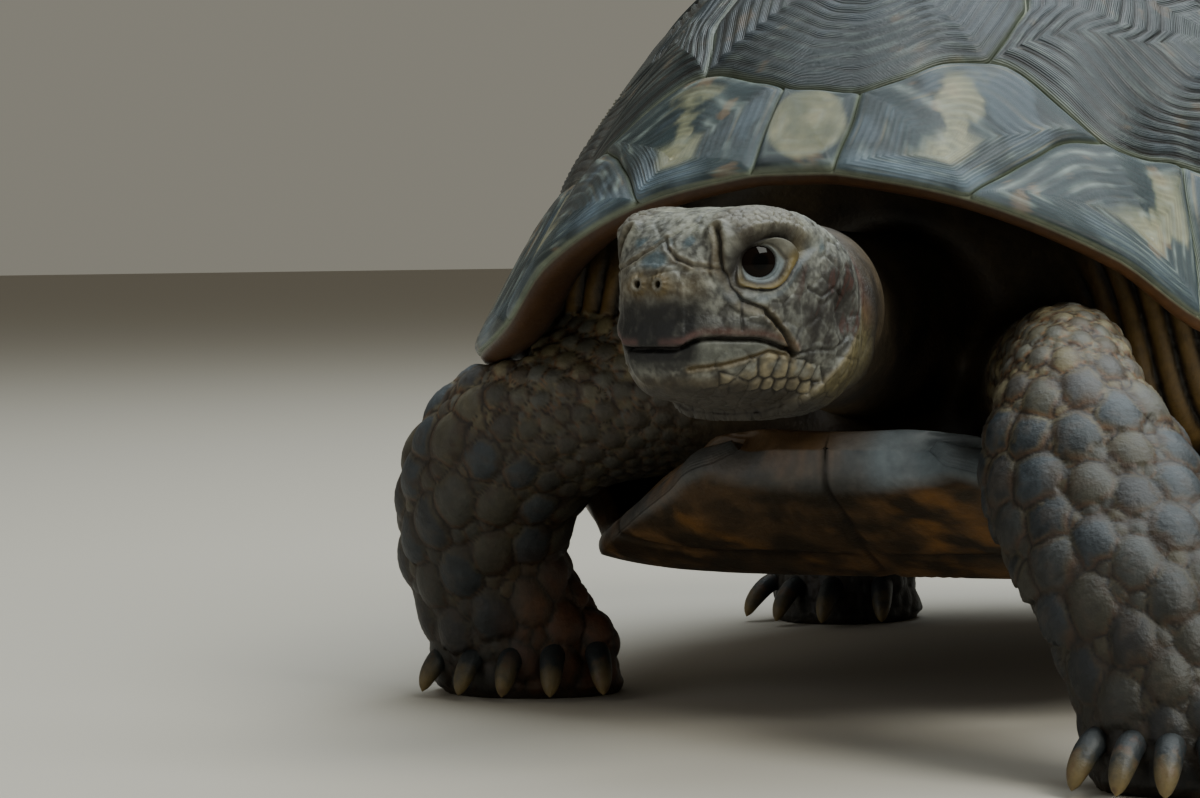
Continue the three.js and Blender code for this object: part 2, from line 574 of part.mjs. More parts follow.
/** The horny edge of the upper beak: a thin band of a fuller head over the mouth line. */
const beakEdge = headForm(BEAK_EDGE[0], 1).intersect(mouthWedge(-BEAK_EDGE[1]))
  .intersect(solid(new THREE.BoxGeometry(60, 30, 60).translate(0, -MOUTH_CORNER[0] - 16.5, 40)));
let head = headForm(0).add(beakEdge).subtract(mouthWedge(0));
for (const side of Object.values(SIDES)) {
  const onSide = ([out, forwards, up]) => [side * out, -forwards, up];
  head = head.subtract(egg(onSide(EAR_DRUM.place), EAR_DRUM.half, 10, 6));
  head = head.add(egg(onSide(BROW.place), BROW.half, 10, 6));
  head = head.add(eyeEgg(side, 0, Array(3).fill(EYE_RADIUS + LID_THICK), 12, 8));
  head = head.subtract(eyeEgg(side, EYE_RADIUS + 1, [4, EYE_OPENING[0] / 2, EYE_OPENING[1] / 2], 10, 8));
  head = head.subtract(eyeEgg(side, 0, Array(3).fill(EYE_RADIUS + GAP), 12, 8));
  const [out, forwards, up] = NOSTRIL.place;
  head = head.add(egg(onSide(NOSTRIL.place), NOSTRIL.half, 8, 6));
  head = head.subtract(egg(onSide([out + 0.2, forwards + 1, up]), NOSTRIL.hole, 6, 4));
}
addPart('head', inHead(head), SKIN);
addPart('jaw', inHead(headForm(0, 0.95).intersect(mouthWedge(GAP))), SKIN);
for (const [name, side] of Object.entries(SIDES)) {
  addPart(`eye_${name}`, inHead(eyeEgg(side, 0, Array(3).fill(EYE_RADIUS), 12, 8)), EYE);
}

// ---------------------------------------------------------------- limbs, neck and tail
const NECK = {
  stations: [
    [0, -52, 50, 24, 26], [-0.5, -70, 51.5, 19, 24], [1, -88, 53, 16.5, 22], [3.5, -99, 54, 17, 21],
    [5.5, -105, 54.5, 18, 20], [7, -112, 55, 18, 18],
  ],
  across: [1, 0, 0],
};
const TAIL = {
  stations: [[0, 66, 34, 18, 15], [0.5, 79, 30, 15, 12], [2, 89, 24, 10, 9], [4, 96, 17, 4.5, 4.5]],
  across: [1, 0, 0],
  around: 10,
  rows: 14,
};
const FORELEG = { claws: 5, scales: { size: FOREARM_SCALE, columns: 5, spread: 178 } };
const HINDLEG = { claws: 4, scales: { size: HEEL_SCALE, columns: 3, spread: 120 } };
const LEGS = {
  foreleg_left: {
    ...FORELEG,
    stations: [
      [18, -54, 43, 18, 18], [25, -69, 44, 17, 18], [30.5, -81, 45.5, 15, 17], [33, -89, 44, 16.5, 17],
      [35.5, -95, 38.5, 21.5, 16.5], [38.5, -99.5, 33, 24, 16], [42.5, -104, 27.5, 24, 15],
      [46.5, -109, 21.5, 22.5, 15], [50, -112, 13, 19.5, 15.5], [52, -113, 5, 19, 17],
      [52.5, -113, -1, 19.5, 17],
    ],
    across: [0.98, 0.12, 0],
    scaleRows: [0.36, 0.44, 0.52, 0.6, 0.68, 0.77],
    scaleMiddle: 80, // degrees round from the out side
  },
  foreleg_right: {
    ...FORELEG,
    stations: [
      [-16, -48, 42, 20, 20], [-32, -55, 42, 21, 21], [-47, -58, 39.5, 22, 21], [-58, -56.5, 32, 24, 20],
      [-62, -53.5, 22, 23, 18], [-61, -51, 14, 22, 18], [-58.7, -49, 6, 24.5, 19], [-57, -48, -1, 25, 19],
    ],
    across: [0.99, 0.1, 0],
    scaleRows: [0.4, 0.48, 0.56, 0.64, 0.72, 0.81],
    scaleMiddle: 105,
  },
  hindleg_left: {
    ...HINDLEG,
    stations: [
      [20, 54, 42, 26, 24], [32, 55, 42, 27, 26], [47, 57, 37, 26, 26], [53, 61, 28, 24, 25],
      [53, 66, 18, 22, 22], [50, 71, 8, 22, 22], [49, 74, -1, 23, 24],
    ],
    across: [0.97, 0.24, 0],
    scaleRows: [0.74, 0.83, 0.92],
    scaleMiddle: -80,
    spurPlace: [0.47, -75],
  },
  hindleg_right: {
    ...HINDLEG,
    stations: [
      [-20, 58, 42, 25, 24], [-32, 58, 42, 27, 26], [-45, 58, 37, 26, 26], [-50, 58, 28, 24, 24],
      [-50, 57.5, 18, 22, 22], [-48.5, 57, 8, 22, 22], [-48, 57, -1, 23, 24],
    ],
    across: [0.99, -0.14, 0],
    scaleRows: [0.74, 0.83, 0.92],
    scaleMiddle: -100,
    spurPlace: [0.47, -105],
  },
};

/** The raised scales of a leg, in rows set off from each other by half a scale, and its thigh spur. */
function legScales(leg) {
  const { columns, spread, size } = leg.scales;
  const scales = leg.scaleRows.flatMap((t, row) => Array.from({ length: columns - (row % 2) }, (_, k) => {
    const share = (k + (row % 2) / 2) / (columns - 1) - 0.5;
    return limbScale(leg, t, (leg.scaleMiddle + share * spread) * DEG, size);
  }));
  if (leg.spurPlace) scales.push(limbScale(leg, leg.spurPlace[0], leg.spurPlace[1] * DEG, THIGH_SPUR));
  return scales;
}

/** The claws of one foot, side by side along its front edge, each pointing a little outwards. */
function clawStations({ stations, across, claws }) {
  const [x, y, , wide, deep] = stations.at(-1);
  const out = new THREE.Vector2(across[0], across[1]).normalize();
  const ahead = new THREE.Vector2(out.y, -out.x);
  const fan = CLAW_FAN * DEG;
  return Array.from({ length: claws }, (_, i) => {
    const k = lerp(-1, 1, i / (claws - 1));
    const root = new THREE.Vector2(x, y).addScaledVector(out, k * 0.4 * wide)
      .addScaledVector(ahead, (deep / 2) * Math.sqrt(1 - (0.8 * k) ** 2) - 2);
    const along = ahead.clone().multiplyScalar(Math.cos(k * fan)).addScaledVector(out, Math.sin(k * fan));
    return CLAW_STATIONS.map(([share, height, claw]) => {
      const spot = root.clone().addScaledVector(along, share * CLAW_LENGTH);
      return [spot.x, spot.y, height, claw, claw * 0.9];
    });
  });
}

const legSolids = Object.fromEntries(Object.entries(LEGS).map(([name, leg]) => {
  let body = legScales(leg).reduce((whole, scale) => whole.add(scale), limb(leg));
  body = body.subtract(floorBlock).subtract(shellWall).subtract(limb(NECK, GAP));
  clawStations(leg).forEach((stations, i) => {
    const claw = { stations, across: leg.across, around: 6, rows: 8, round: 0.4 };
    body = body.subtract(limb(claw, GAP));
    addPart(`claw_${name}_${i + 1}`, limb(claw), CLAW_HORN);
  });
  return [name, body];
}));

const neck = limb(NECK).subtract(inHead(headForm(GAP))).subtract(shellWall);
addPart('neck', neck, SKIN);
addPart('tail', limb(TAIL).subtract(shellWall), SKIN);
for (const [name, body] of Object.entries(legSolids)) addPart(name, body, SCALED_SKIN);

// ---------------------------------------------------------------- torso
const TORSO = {
  front: -64, rear: 80, half: 68, top: 122, middle: 62, bottom: PLASTRON_HEIGHT + PLATE_THICK + 1,
};
const NECK_HOLLOW = { middle: [2, -68, 54], half: [30, 15, 19] }; // the neck comes out of it
let torso = wrap(10, 16, (row, angle) => {
  const bulge = (value, power) => Math.sign(value) * Math.abs(value) ** power;
  const rise = (row / 10) * Math.PI;
  const up = bulge(Math.sin(angle), 0.5) * Math.sin(rise) ** 0.5;
  const belly = 1 - 0.4 * smoothstep(-up, 0.1, 0.9);
  return new THREE.Vector3(
    TORSO.half * belly * bulge(Math.cos(angle), 0.5) * Math.sin(rise) ** 0.5,
    (TORSO.front + TORSO.rear) / 2 - ((TORSO.rear - TORSO.front) / 2) * bulge(Math.cos(rise), 0.5),
    TORSO.middle + up * (up > 0 ? TORSO.top - TORSO.middle : TORSO.middle - TORSO.bottom),
  );
});
torso = torso.intersect(innerDome(GAP));
for (const shift of [[0, 0, GAP], [GAP, 0, 0], [-GAP, 0, 0]]) torso = torso.subtract(plastron.translate(shift));
torso = torso.subtract(egg(NECK_HOLLOW.middle, NECK_HOLLOW.half, 12, 8));
for (const spec of [NECK, TAIL, ...Object.values(LEGS)]) torso = torso.subtract(limb(spec, GAP));
addPart('torso', torso, SKIN);

// ---------------------------------------------------------------- place over the floor
const whole = new THREE.Box3().setFromObject(parts);
parts.position.set(-(whole.min.x + whole.max.x) / 2, -(whole.min.y + whole.max.y) / 2, -whole.min.z);

export default parts;
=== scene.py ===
"""An adult spur-thighed tortoise in mid stride: shell plates, skin, eyes, claws and a plain studio.

Lengths in the code are millimetres in the tortoise's own frame, +Z up from the floor, facing -Y,
its left side +X, with the shell's crown over the origin. to_row() turns them into the scene's metres.
"""

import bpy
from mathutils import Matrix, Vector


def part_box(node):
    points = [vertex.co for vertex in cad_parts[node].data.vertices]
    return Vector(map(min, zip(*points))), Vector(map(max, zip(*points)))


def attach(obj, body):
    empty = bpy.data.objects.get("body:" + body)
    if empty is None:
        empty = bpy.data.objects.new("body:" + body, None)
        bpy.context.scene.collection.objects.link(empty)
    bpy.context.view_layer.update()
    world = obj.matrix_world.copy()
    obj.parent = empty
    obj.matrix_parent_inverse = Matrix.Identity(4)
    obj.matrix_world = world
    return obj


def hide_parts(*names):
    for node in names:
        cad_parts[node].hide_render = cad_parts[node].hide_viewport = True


bl_info = {
    "name": "Spur-thighed Tortoise",
    "version": (1, 0, 0),
    "blender": (4, 5, 0),
    "location": "3D View > Sidebar > Tortoise",
    "description": "Builds a life-size tortoise over its packed solids",
    "category": "Object",
}

import math
from itertools import product

import bmesh
import bpy
import numpy as np
from bpy.props import FloatProperty, FloatVectorProperty, IntProperty, PointerProperty
from bpy.types import Operator, Panel, PropertyGroup
from mathutils import Matrix, Vector, noise
from mathutils.kdtree import KDTree

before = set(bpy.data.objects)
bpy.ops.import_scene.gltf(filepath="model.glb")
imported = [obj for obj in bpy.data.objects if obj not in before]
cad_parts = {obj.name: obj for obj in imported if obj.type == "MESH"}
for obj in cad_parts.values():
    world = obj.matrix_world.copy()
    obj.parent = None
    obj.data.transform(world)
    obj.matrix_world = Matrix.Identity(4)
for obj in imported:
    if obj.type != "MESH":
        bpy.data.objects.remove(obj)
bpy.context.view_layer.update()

MM = 0.001
DEG = math.pi / 180

# ---------------------------------------------------------------- the tortoise's measures
SHELL_LENGTH = 190.0
SHELL_WIDTH = 140.0
SHELL_TOP = 118.0
SHELL_WALL = 4.5
OUTLINE_POWER = 2.4
FOREMOST = -95.44  # front of the carapace in the tortoise's own frame
EDGE = [  # degrees from the front, height of the shell's edge, power of the fall to it
    (0, 71, 2), (5, 70.8, 2), (18, 67.3, 2.05), (31, 60, 2.1), (39, 52.3, 2.1), (48, 48.7, 2.15),
    (60, 46.8, 2.2), (90, 43.5, 2.3), (122, 42, 2.5), (150, 40.5, 2.8), (166, 38, 3), (180, 36, 3),
]
COLLAR = [  # degrees, where the ring of marginal plates starts, from crown 0 to edge 1
    (0, 0.884), (4.5, 0.884), (18.5, 0.82), (31, 0.872), (41, 0.85), (56, 0.845), (90, 0.86),
    (128, 0.875), (180, 0.88),
]
MARGINAL_SEAMS = [  # degrees at the edge, degrees at the collar
    (4.3, 4.5), (17.5, 31), (38.6, 41), (55, 57), (71, 72), (86, 87), (101, 101), (115, 115),
    (128, 127), (141, 139), (153, 151), (165, 164),
]
COSTAL_SEAMS = [18.5, 78, 105, 132, 154]
VERTEBRAL_SEAMS = [(0.25, -0.54), (0.25, -0.2), (0.25, 0.13), (0.22, 0.44)]
VERTEBRAL_CORNERS = [(0.35, -0.37), (0.36, -0.03), (0.33, 0.29)]
FIRST_CORNER = (0.295, -0.66)

GULAR_TIP = -86.0
PLASTRON_HEIGHT = 18.0
PLASTRON_EDGE = [  # y, half width of the flat plate
    (-86, 14), (-83.5, 19.5), (-79, 24), (-72, 31.5), (-62, 40), (-50, 45.5), (-38, 48),
    (26, 47), (36, 41.5), (46, 38), (58, 35), (68, 30.5), (76, 24), (81, 16.5),
]
BRIDGE = (-46, -36, 26, 36)

HEAD_TURN = 15.5
HEAD_PLACE = (4.3, -124.7)
HEAD_FORM = [  # forwards of the middle, top, bottom, half width, height of the widest line
    (-10.5, 62.6, 45, 9.6, 54), (-7, 64.6, 43.4, 11.5, 54), (-2.7, 65.9, 42.9, 12.2, 54),
    (2.3, 66.4, 43.4, 11.8, 54.5), (6.3, 66.6, 44.2, 10.8, 55.5), (9.3, 66.2, 44.7, 9.6, 56),
    (11.2, 65.3, 45, 8.5, 56), (13, 63.9, 45.2, 7.2, 56), (14.9, 62, 45.7, 5.7, 56),
    (16.1, 60.4, 46.8, 4.3, 56),
]
# places on the head are outwards, forwards and up; the other side mirrors them
EYE_PLACE = (5.7, 5.8, 60.3)
EYE_RADIUS = 4.3
EYE_FORWARDS = 20.0
EYE_TILT = 20.0
NOSTRIL = (1.8, 15.9, 58)
NOSE_HOLE = (1.5, 16.6, 58.2)
BROW = (7.2, 5.4, 63.9)
EAR_DRUM = (12.5, -4.2, 54.5)
EAR_DRUM_HALF = (1.4, 2.7, 2.9)
# share of the way down the leg, degrees round it
THIGH_SPURS = {"hindleg_left": (0.47, -75), "hindleg_right": (0.47, -105)}
SPUR_HALF = (2.5, 3.5, 3.4)
SPUR_SUNK = 0.3
SPUR_LIFT = 0.7

NECK = {
    "stations": [
        (0, -52, 50, 24, 26), (-0.5, -70, 51.5, 19, 24), (1, -88, 53, 16.5, 22), (3.5, -99, 54, 17, 21),
        (5.5, -105, 54.5, 18, 20), (7, -112, 55, 18, 18),
    ],
    "across": (1, 0, 0),
}
TAIL = {
    "stations": [(0, 66, 34, 18, 15), (0.5, 79, 30, 15, 12), (2, 89, 24, 10, 9), (4, 96, 17, 4.5, 4.5)],
    "across": (1, 0, 0),
}
LEGS = {
    "foreleg_left": {
        "stations": [
            (18, -54, 43, 18, 18), (25, -69, 44, 17, 18), (30.5, -81, 45.5, 15, 17),
            (33, -89, 44, 16.5, 17), (35.5, -95, 38.5, 21.5, 16.5), (38.5, -99.5, 33, 24, 16),
            (42.5, -104, 27.5, 24, 15), (46.5, -109, 21.5, 22.5, 15), (50, -112, 13, 19.5, 15.5),
            (52, -113, 5, 19, 17), (52.5, -113, -1, 19.5, 17),
        ],
        "across": (0.98, 0.12, 0),
        "claws": 5,
    },
    "foreleg_right": {
        "stations": [
            (-16, -48, 42, 20, 20), (-32, -55, 42, 21, 21), (-47, -58, 39.5, 22, 21),
            (-58, -56.5, 32, 24, 20), (-62, -53.5, 22, 23, 18), (-61, -51, 14, 22, 18),
            (-58.7, -49, 6, 24.5, 19), (-57, -48, -1, 25, 19),
        ],
        "across": (0.99, 0.1, 0),
        "claws": 5,
    },
    "hindleg_left": {
        "stations": [
            (20, 54, 42, 26, 24), (32, 55, 42, 27, 26), (47, 57, 37, 26, 26), (53, 61, 28, 24, 25),
            (53, 66, 18, 22, 22), (50, 71, 8, 22, 22), (49, 74, -1, 23, 24),
        ],
        "across": (0.97, 0.24, 0),
        "claws": 4,
    },
    "hindleg_right": {
        "stations": [
            (-20, 58, 42, 25, 24), (-32, 58, 42, 27, 26), (-45, 58, 37, 26, 26),
            (-50, 58, 28, 24, 24), (-50, 57.5, 18, 22, 22), (-48.5, 57, 8, 22, 22),
            (-48, 57, -1, 23, 24),
        ],
        "across": (0.99, -0.14, 0),
        "claws": 4,
    },
}
CLAW_LENGTH = 7.3
CLAW_HALF = 1.65
CLAW_TIP = 0.12


# ---------------------------------------------------------------- helpers
def frame_origin():
    """Where the tortoise's own origin lies in the row frame, in metres."""
    low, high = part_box("carapace")
    return np.array([(low.x + high.x) / 2, low.y - FOREMOST * MM, 0.0])


ORIGIN = frame_origin()


def to_row(points):
    """Own millimetres to the row frame's metres."""
    return np.asarray(points, float) * MM + ORIGIN


def smoothstep(value, low, high):
    """0 below low, 1 above high and a smooth rise between; low may be the greater."""
    t = np.clip((np.asarray(value, float) - low) / (high - low), 0, 1)
    return t * t * (3 - 2 * t)


def mix(a, b, share):
    """a where share is 0, b where it is 1."""
    return a + (b - a) * share


def stain(colour, ink, weight):
    """The colours with an ink laid over them, as strongly as the weight at each point."""
    return mix(colour, ink, weight[..., None])


def bell(distance, width):
    """1 at distance 0, falling smoothly to nearly 0 at 2 widths."""
    return np.exp(-(np.asarray(distance, float) / width) ** 2)


def read(rows, place):
    """Values at each place from rows of (place, value, ...), along smooth curves through the rows."""
    rows = np.asarray(rows, float)
    place = np.clip(np.asarray(place, float), rows[0, 0], rows[-1, 0])
    last = len(rows) - 1
    i = np.clip(np.searchsorted(rows[:, 0], place, side="right") - 1, 0, last - 1)
    r0, r1, r2, r3 = (rows[np.clip(i + k, 0, last)] for k in (-1, 0, 1, 2))
    span = (r2 - r1)[..., :1]
    t = (place[..., None] - r1[..., :1]) / span
    slope_in = (r2 - r0)[..., 1:] / (r2 - r0)[..., :1] * span
    slope_out = (r3 - r1)[..., 1:] / (r3 - r1)[..., :1] * span
    bend = t * t * (3 - 2 * t)
    start, end = r1[..., 1:], r2[..., 1:]
    return start + (end - start) * bend + slope_in * t * (1 - t) ** 2 - slope_out * t * t * (1 - t)


def srgb(value):
    """A six-digit sRGB colour as linear numbers."""
    parts = [((value >> shift) & 255) / 255 for shift in (16, 8, 0)]
    return tuple(c / 12.92 if c <= 0.04045 else ((c + 0.055) / 1.055) ** 2.4 for c in parts)


def unit(vectors):
    """The vectors at length 1."""
    vectors = np.asarray(vectors, float)
    return vectors / np.maximum(np.linalg.norm(vectors, axis=-1, keepdims=True), 1e-9)


def add_piece(name, mesh, material, attributes):
    """Puts a mesh in the scene as a piece that rides on the body; attributes are values at its points."""
    for key, values in attributes.items():
        add_attribute(mesh, key, values)
    mesh.polygons.foreach_set("use_smooth", [True] * len(mesh.polygons))
    mesh.materials.append(material)
    piece = bpy.data.objects.new(name, mesh)
    bpy.context.scene.collection.objects.link(piece)
    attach(piece, "root")
    return piece


def new_object(name, points, faces, material, attributes):
    """A closed piece made of own-frame points and faces."""
    mesh = bpy.data.meshes.new(name)
    mesh.from_pydata(to_row(points).tolist(), [], faces)
    work = bmesh.new()
    work.from_mesh(mesh)
    bmesh.ops.recalc_face_normals(work, faces=work.faces)
    work.to_mesh(mesh)
    work.free()
    return add_piece(name, mesh, material, attributes)


def add_attribute(mesh, key, values):
    """A number or a colour at each point of the mesh."""
    values = np.asarray(values, float)
    if values.ndim == 1:
        mesh.attributes.new(key, "FLOAT", "POINT").data.foreach_set("value", values.astype(np.float32))
        return
    rgba = np.c_[values, np.ones(len(values))].astype(np.float32)
    mesh.attributes.new(key, "FLOAT_COLOR", "POINT").data.foreach_set("color", rgba.ravel())


FRACTAL_ROUGHNESS = 0.8


def fractal(points, size, octaves=3, seed=0):
    """Smooth noise in about -1 to 1 at each point, its largest features of the given size."""
    points = np.asarray(points, float)
    shift = Vector((seed * 17.3, seed * 5.1, seed * 9.7))
    rows = (points.reshape(-1, 3) / size).tolist()
    values = [noise.fractal(Vector(p) + shift, FRACTAL_ROUGHNESS, 2.0, octaves) for p in rows]
    return np.reshape(values, points.shape[:-1])


# ---------------------------------------------------------------- settings
def length(name, description, default):
    """A length that the sidebar shows."""
    return FloatProperty(
        name=name, description=description, default=default, min=0, soft_max=0.02, unit="LENGTH", precision=5,
    )


def tint(name, description, value):
    """A colour that the sidebar shows, from a six-digit value."""
    return FloatVectorProperty(
        name=name, description=description, default=srgb(value), size=3, min=0, max=1, subtype="COLOR",
    )


def power(name, description, default):
    """A light's power that the sidebar shows."""
    return FloatProperty(name=name, description=description, default=default, min=0, unit="POWER")


class TortoiseShellSettings(PropertyGroup):
    """Sizes and colours of the carapace"""
    crown: length("Plate crown", "How far each horn plate rises over the shell", 0.0013)
    skirt: length("Plate depth", "How far each plate reaches under the shell's surface", 0.0012)
    gap: length("Seam", "Half the width of the seam between two plates", 0.0001)
    rings: IntProperty(
        name="Growth rings", description="Rings between a plate's oldest spot and its seam",
        default=14, min=0, max=40,
    )
    teal: tint("Dark horn", "Dark colour of the plates", 0x25363a)
    line: tint("Growth lines", "Fine pale lines along the growth rings", 0x93a19b)
    olive: tint("Pale fields", "Pale fields on the marginal and nuchal plates", 0x8f9071)
    rim: tint("Lit rim", "Rounded underside of the shell's edge", 0x8c5f36)


class TortoisePlastronSettings(PropertyGroup):
    """Sizes and colours of the plastron"""
    middle: length("Thickness", "Thickness of the plastron's flat middle", 0.004)
    front: length("Front thickness", "Thickness of the plastron's rounded front", 0.009)
    dark: tint("Dark horn", "Darkest colour of the underside", 0x302619)
    amber: tint("Amber bands", "Curved bands on the plastron's front", 0x8a5f2a)
    # The lip colour is painted light: a bluish sheen on the plastron's rounded front lip.
    lip: tint("Lip sheen", "Painted pale sheen on the edge of the plastron's front", 0x76828a)


class TortoiseSkinSettings(PropertyGroup):
    """Sizes and colours of the skin"""
    scale_height: FloatProperty(
        name="Scale height", description="Height of a leg scale as a share of its width",
        default=0.19, min=0, max=0.4, subtype="FACTOR",
    )
    scale_lean: FloatProperty(
        name="Scale overlap", description="How far a leg scale's free end stands up over the next one",
        default=0.14, min=0, max=0.4, subtype="FACTOR",
    )
    skin: tint("Head", "Main colour of the head", 0x696a64)
    cream: tint("Jaw scales", "Pale scales along the lower jaw", 0x8b826a)
    beak: tint("Beak", "Dark horn at the front of the jaws", 0x0e0f11)
    slate: tint("Dark leg scales", "Dark colour in the middle of the leg scales", 0x23292d)
    beige: tint("Pale leg scales", "Pale colour round the leg scales", 0x6b634c)


class TortoiseEyeSettings(PropertyGroup):
    """Colours of the eyes"""
    pupil: tint("Pupil", "Middle of the eye", 0x020202)
    iris: tint("Iris", "Dark ring round the pupil", 0x0d0704)


class TortoiseClawSettings(PropertyGroup):
    """Colours of the claws"""
    root: tint("Root", "Dark horn where the claws leave the skin", 0x24282a)
    tip: tint("Tip", "Worn horn at the ends of the claws", 0x776640)


class TortoiseStageSettings(PropertyGroup):
    """Floor colour and lights of the studio"""
    floor: tint("Floor", "Plain pale floor", 0xa39d92)
    key: power("Key light", "Soft light from above the tortoise's left", 9.8)
    sky: power("Sky light", "Wide light from above", 21)
    fill: power("Fill light", "Weak light from the tortoise's front right", 1.5)


SETTINGS = {
    "shell": TortoiseShellSettings, "plastron": TortoisePlastronSettings, "skin": TortoiseSkinSettings,
    "eyes": TortoiseEyeSettings, "claws": TortoiseClawSettings, "stage": TortoiseStageSettings,
}


def settings(part):
    """The settings of one part of the tortoise."""
    return getattr(bpy.context.scene, f"tortoise_{part}")


def inks(table, part, *names):
    """Linear colours by name: a table's own and those that the part's settings hold."""
    found = {key: np.array(srgb(value)) for key, value in table.items()}
    chosen = settings(part)
    found.update({name: np.array(getattr(chosen, name)) for name in names})
    return found


# ---------------------------------------------------------------- the shell's surface
def dome(a, b, side_inset=0.0, end_inset=0.0, drop=0.0):
    """Points of the smooth dome: (0, 0) is the crown, radius 1 the edge, -b the front."""
    s = np.minimum(np.hypot(a, b), 1)
    turn = np.arctan2(a, -np.asarray(b, float))
    ca, cb = np.sin(turn), -np.cos(turn)
    rows = read(EDGE, np.abs(turn) / DEG)
    square = (np.abs(ca) ** OUTLINE_POWER + np.abs(cb) ** OUTLINE_POWER) ** (-1 / OUTLINE_POWER)
    return np.stack([
        s * square * ca * (SHELL_WIDTH / 2 - side_inset),
        s * square * cb * (SHELL_LENGTH / 2 - end_inset),
        mix(SHELL_TOP - drop, rows[..., 0], s ** rows[..., 1]),
    ], axis=-1)


def dome_normals(a, b):
    """Outward directions of the dome."""
    step = 1e-3
    shrink = np.where(np.hypot(a, b) > 1 - step, 1 - 2 * step, 1)
    a, b = a * shrink, b * shrink
    here = dome(a, b)
    return unit(np.cross(dome(a + step, b) - here, dome(a, b + step) - here))


def on_edge(angle, radius=1.0):
    """Dome coordinates at degrees round from the front."""
    angle = np.asarray(angle, float) * DEG
    return np.stack([radius * np.sin(angle), -radius * np.cos(angle)], axis=-1)


def on_collar(angle):
    """Dome coordinates of the marginal plates' inner line."""
    angle = np.asarray(angle, float)
    return on_edge(angle, read(COLLAR, np.abs(np.where(angle > 180, 360 - angle, angle)))[..., 0])


def arc(curve, start, end):
    """Points along a curve of the shell, 1.5 degrees apart."""
    return curve(np.linspace(start, end, int(abs(end - start) / 1.5) + 2))


def flip(*places):
    """The places mirrored to the other side of the shell."""
    return [(-a, b) for a, b in places]


def plate_outlines():
    """The horn plates: kind, border and oldest spot of each, in dome coordinates."""
    plates = []
    rims = [((-a, -c), (a, c), 0.5) for a, c in MARGINAL_SEAMS[:1]]
    for (a, c), (d, e) in zip(MARGINAL_SEAMS[:-1], MARGINAL_SEAMS[1:]):
        rims += [((a, c), (d, e), 0.8), ((-d, -e), (-a, -c), 0.2)]
    a, c = MARGINAL_SEAMS[-1]
    rims.append(((a, c), (360 - a, 360 - c), 0.5))
    for (a, c), (d, e), share in rims:
        border = np.vstack([arc(on_collar, c, e), arc(on_edge, d, a)])
        kind = "marginal" if plates else "nuchal"
        plates.append((kind, border, on_edge(mix(a, d, share), 0.965 if plates else 0.94)))

    v1, v2, v3, v4 = VERTEBRAL_SEAMS
    k2, k3, k4 = VERTEBRAL_CORNERS
    costals = [
        ([k2, v1, FIRST_CORNER], (0.55, -0.42)), ([k3, v2, k2], (0.6, -0.12)),
        ([k4, v3, k3], (0.58, 0.2)), ([v4, k4], (0.46, 0.5)),
    ]
    for i, (inner, spot) in enumerate(costals):
        border = np.vstack([arc(on_collar, COSTAL_SEAMS[i], COSTAL_SEAMS[i + 1]), inner])
        plates.append(("costal_left", border, np.array(spot)))
        plates.append(("costal_right", border * (-1, 1), np.array(spot) * (-1, 1)))
    front = arc(on_collar, -COSTAL_SEAMS[0], COSTAL_SEAMS[0])
    rear = arc(on_collar, COSTAL_SEAMS[-1], 360 - COSTAL_SEAMS[-1])
    plates.append(("vertebral", np.vstack([front, FIRST_CORNER, v1, flip(v1, FIRST_CORNER)]), (0, -0.66)))
    for top, corner, low in ((v1, k2, v2), (v2, k3, v3), (v3, k4, v4)):
        border = np.vstack([top, corner, low, flip(low, corner, top)])
        plates.append(("vertebral", border, (0, (top[1] + low[1]) / 2)))
    plates.append(("vertebral", np.vstack([rear, flip(v4), [v4]]), (0, 0.66)))
    return plates


def resampled(border, spacing):
    """A closed line in dome coordinates with its points evenly spaced over the shell."""
    closed = np.vstack([border, border[:1]])
    loop = np.vstack([*(np.linspace(p, q, 9)[:-1] for p, q in zip(closed[:-1], closed[1:])), closed[-1:]])
    steps = np.linalg.norm(np.diff(dome(loop[:, 0], loop[:, 1]), axis=0), axis=1)
    travelled = np.concatenate([[0], np.cumsum(steps)])
    at = np.linspace(0, travelled[-1], int(travelled[-1] / spacing), endpoint=False)
    return np.stack([np.interp(at, travelled, loop[:, k]) for k in (0, 1)], axis=-1)


def ring_faces(first, rows, around):
    """Quads between rows of points, closed round; the points start at first."""
    row, step = np.meshgrid(np.arange(rows - 1), np.arange(around), indexing="ij")
    after = (step + 1) % around
    ids = [row * around + step, row * around + after, (row + 1) * around + after, (row + 1) * around + step]
    return (np.stack(ids, axis=-1).reshape(-1, 4) + first).tolist()


def fan(tip, first, around, turned=False):
    """Triangles from a tip to a closed row of points that starts at first."""
    row = [(first + i, first + (i + 1) % around) for i in range(around)]
    return [(tip, after, here) if turned else (tip, here, after) for here, after in row]


def seam_sway(a, b):
    """How far the seams stray from straight lines, in dome coordinates."""
    points = np.stack([a, b, np.zeros_like(a)], axis=-1)
    fade = 1 - smoothstep(np.hypot(a, b), 0.93, 0.99)
    size = PLATES["sway"] / (SHELL_WIDTH / 2)
    return fractal(points, 0.16, 2, 3) * size * fade, fractal(points, 0.16, 2, 4) * size * fade


PLATES = {"border_step": 1.0, "level_step": 0.5, "sway": 0.8, "heart": 0.2}
RING_DEPTH = {"costal_left": 0.5, "costal_right": 0.5, "vertebral": 0.32, "marginal": 0.16, "nuchal": 0.05}
HORN_SHADE = {"costal_left": 0.46, "costal_right": 0.46, "vertebral": 0.46, "nuchal": 0.8}
SHELL_INK = {
    "deep": 0x121c21, "cream": 0xa9a283, "blue": 0x7f95a6, "seam": 0x929b85, "brown": 0x2b1a12,
    "tan": 0x9a7c58,
}


